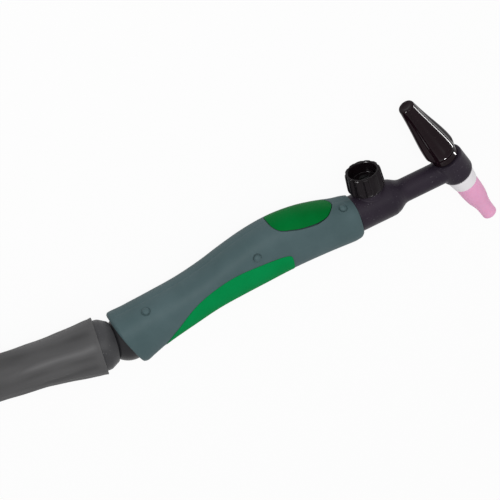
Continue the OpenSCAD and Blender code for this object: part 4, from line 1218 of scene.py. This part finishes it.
def keep_parts():
    for slot, names in KEPT.items():
        for name in names:
            for holder in bpy.data.objects[name].material_slots:
                holder.link = "OBJECT"
                holder.material = FINISH[slot]


keep_parts()


# ------------------------ floor and light

FLOOR = -0.0003
FLOOR_WHITE, FLOOR_GLOW = 0.82, 0.94
AROUND = 0.5  # strength of the world's light on the object
CAP_WAY = Vector((-math.sin(LEAN), math.cos(LEAN), 0))


def seen(nodes):
    """1 for rays that show the floor or the world itself, 0 for rays that light the object."""
    total = 0.0
    for kind in ("Is Camera Ray", "Is Glossy Ray", "Is Transmission Ray"):
        ray = nodes.node("ShaderNodeLightPath", {}, {}, kind)
        total = nodes.node("ShaderNodeMath", {"operation": "ADD", "use_clamp": True}, {0: total, 1: ray})
    return total


def floor():
    """Pale floor that looks evenly white and still takes shadows."""
    corners = [(x, y, FLOOR) for x, y in ((-6, -6), (6, -6), (6, 6), (-6, 6))]
    mesh = bpy.data.meshes.new("floor")
    mesh.from_pydata(corners, [], [(0, 1, 2, 3)])
    obj = added("floor", mesh)
    paint = Finish("floor", Base_Color=(FLOOR_WHITE, FLOOR_WHITE, FLOOR_WHITE, 1), Roughness=0.9,
                   Specular_IOR_Level=0.0)
    matt = Value(paint, paint.shader.outputs[0])
    glow = paint.node("ShaderNodeEmission", {}, {})
    both = paint.node("ShaderNodeMixShader", {}, {0: seen(paint) * FLOOR_GLOW, 1: matt, 2: glow})
    paint.feed(paint.tree.nodes["Material Output"].inputs["Surface"], both)
    mesh.materials.append(paint.material)


def world():
    """White all round, dimmer where it lights the object."""
    made = bpy.data.worlds.new("studio")
    bpy.context.scene.world = made
    nodes = Nodes(made)
    back = nodes.tree.nodes["Background"]
    back.inputs["Color"].default_value = (1, 1, 1, 1)
    nodes.feed(back.inputs["Strength"], seen(nodes) * (1 - AROUND) + AROUND)


def lamp(name, where, at, size, watts, along=(0, 1, 0), shines_on=()):
    """Area lamp; one that shines on a few pieces shows there only as a highlight."""
    data = bpy.data.lights.new(name, "AREA")
    data.shape = "RECTANGLE"
    data.size, data.size_y = size
    data.energy = watts
    obj = added(name, data)
    back = unit(Vector(where) - Vector(at))
    across = unit(Vector(along).cross(back))
    obj.matrix_world = framed(where, across, back.cross(across), back)
    if shines_on:
        obj.visible_diffuse = False
        lit = bpy.data.collections.new(name + "_shines_on")
        for piece_name in shines_on:
            lit.objects.link(bpy.data.objects[piece_name])
        obj.light_linking.receiver_collection = lit


floor()
world()
lamp("key", (-0.15, 0.75, 1.25), (0.0, 0.0, 0.0), (0.7, 0.7), 8.6)
lamp("cap_edge", (0.81, -0.05, 0.14), (0.135, 0.036, 0.02), (0.10, 0.5), 12.0, CAP_WAY, ("tapered_cap",))
lamp("low_spark", (0.25, -0.85, 0.12), (0.08, 0.01, 0.02), (0.08, 0.05), 1.8, (1, 0, 0), ("fluted_knob",))
lamp("foot_spark", (0.43, -0.82, 0.18), (0.145, 0.009, 0.03), (0.16, 0.16), 9.0, (1, 0, 0), ("tapered_cap",))
lamp("rim_spark", (-1.05, 0.62, 0.58), (0.10, 0.06, 0.02), (0.5, 0.5), 60.0, (1, 0, 0),
     ("tapered_cap", "fluted_knob"))
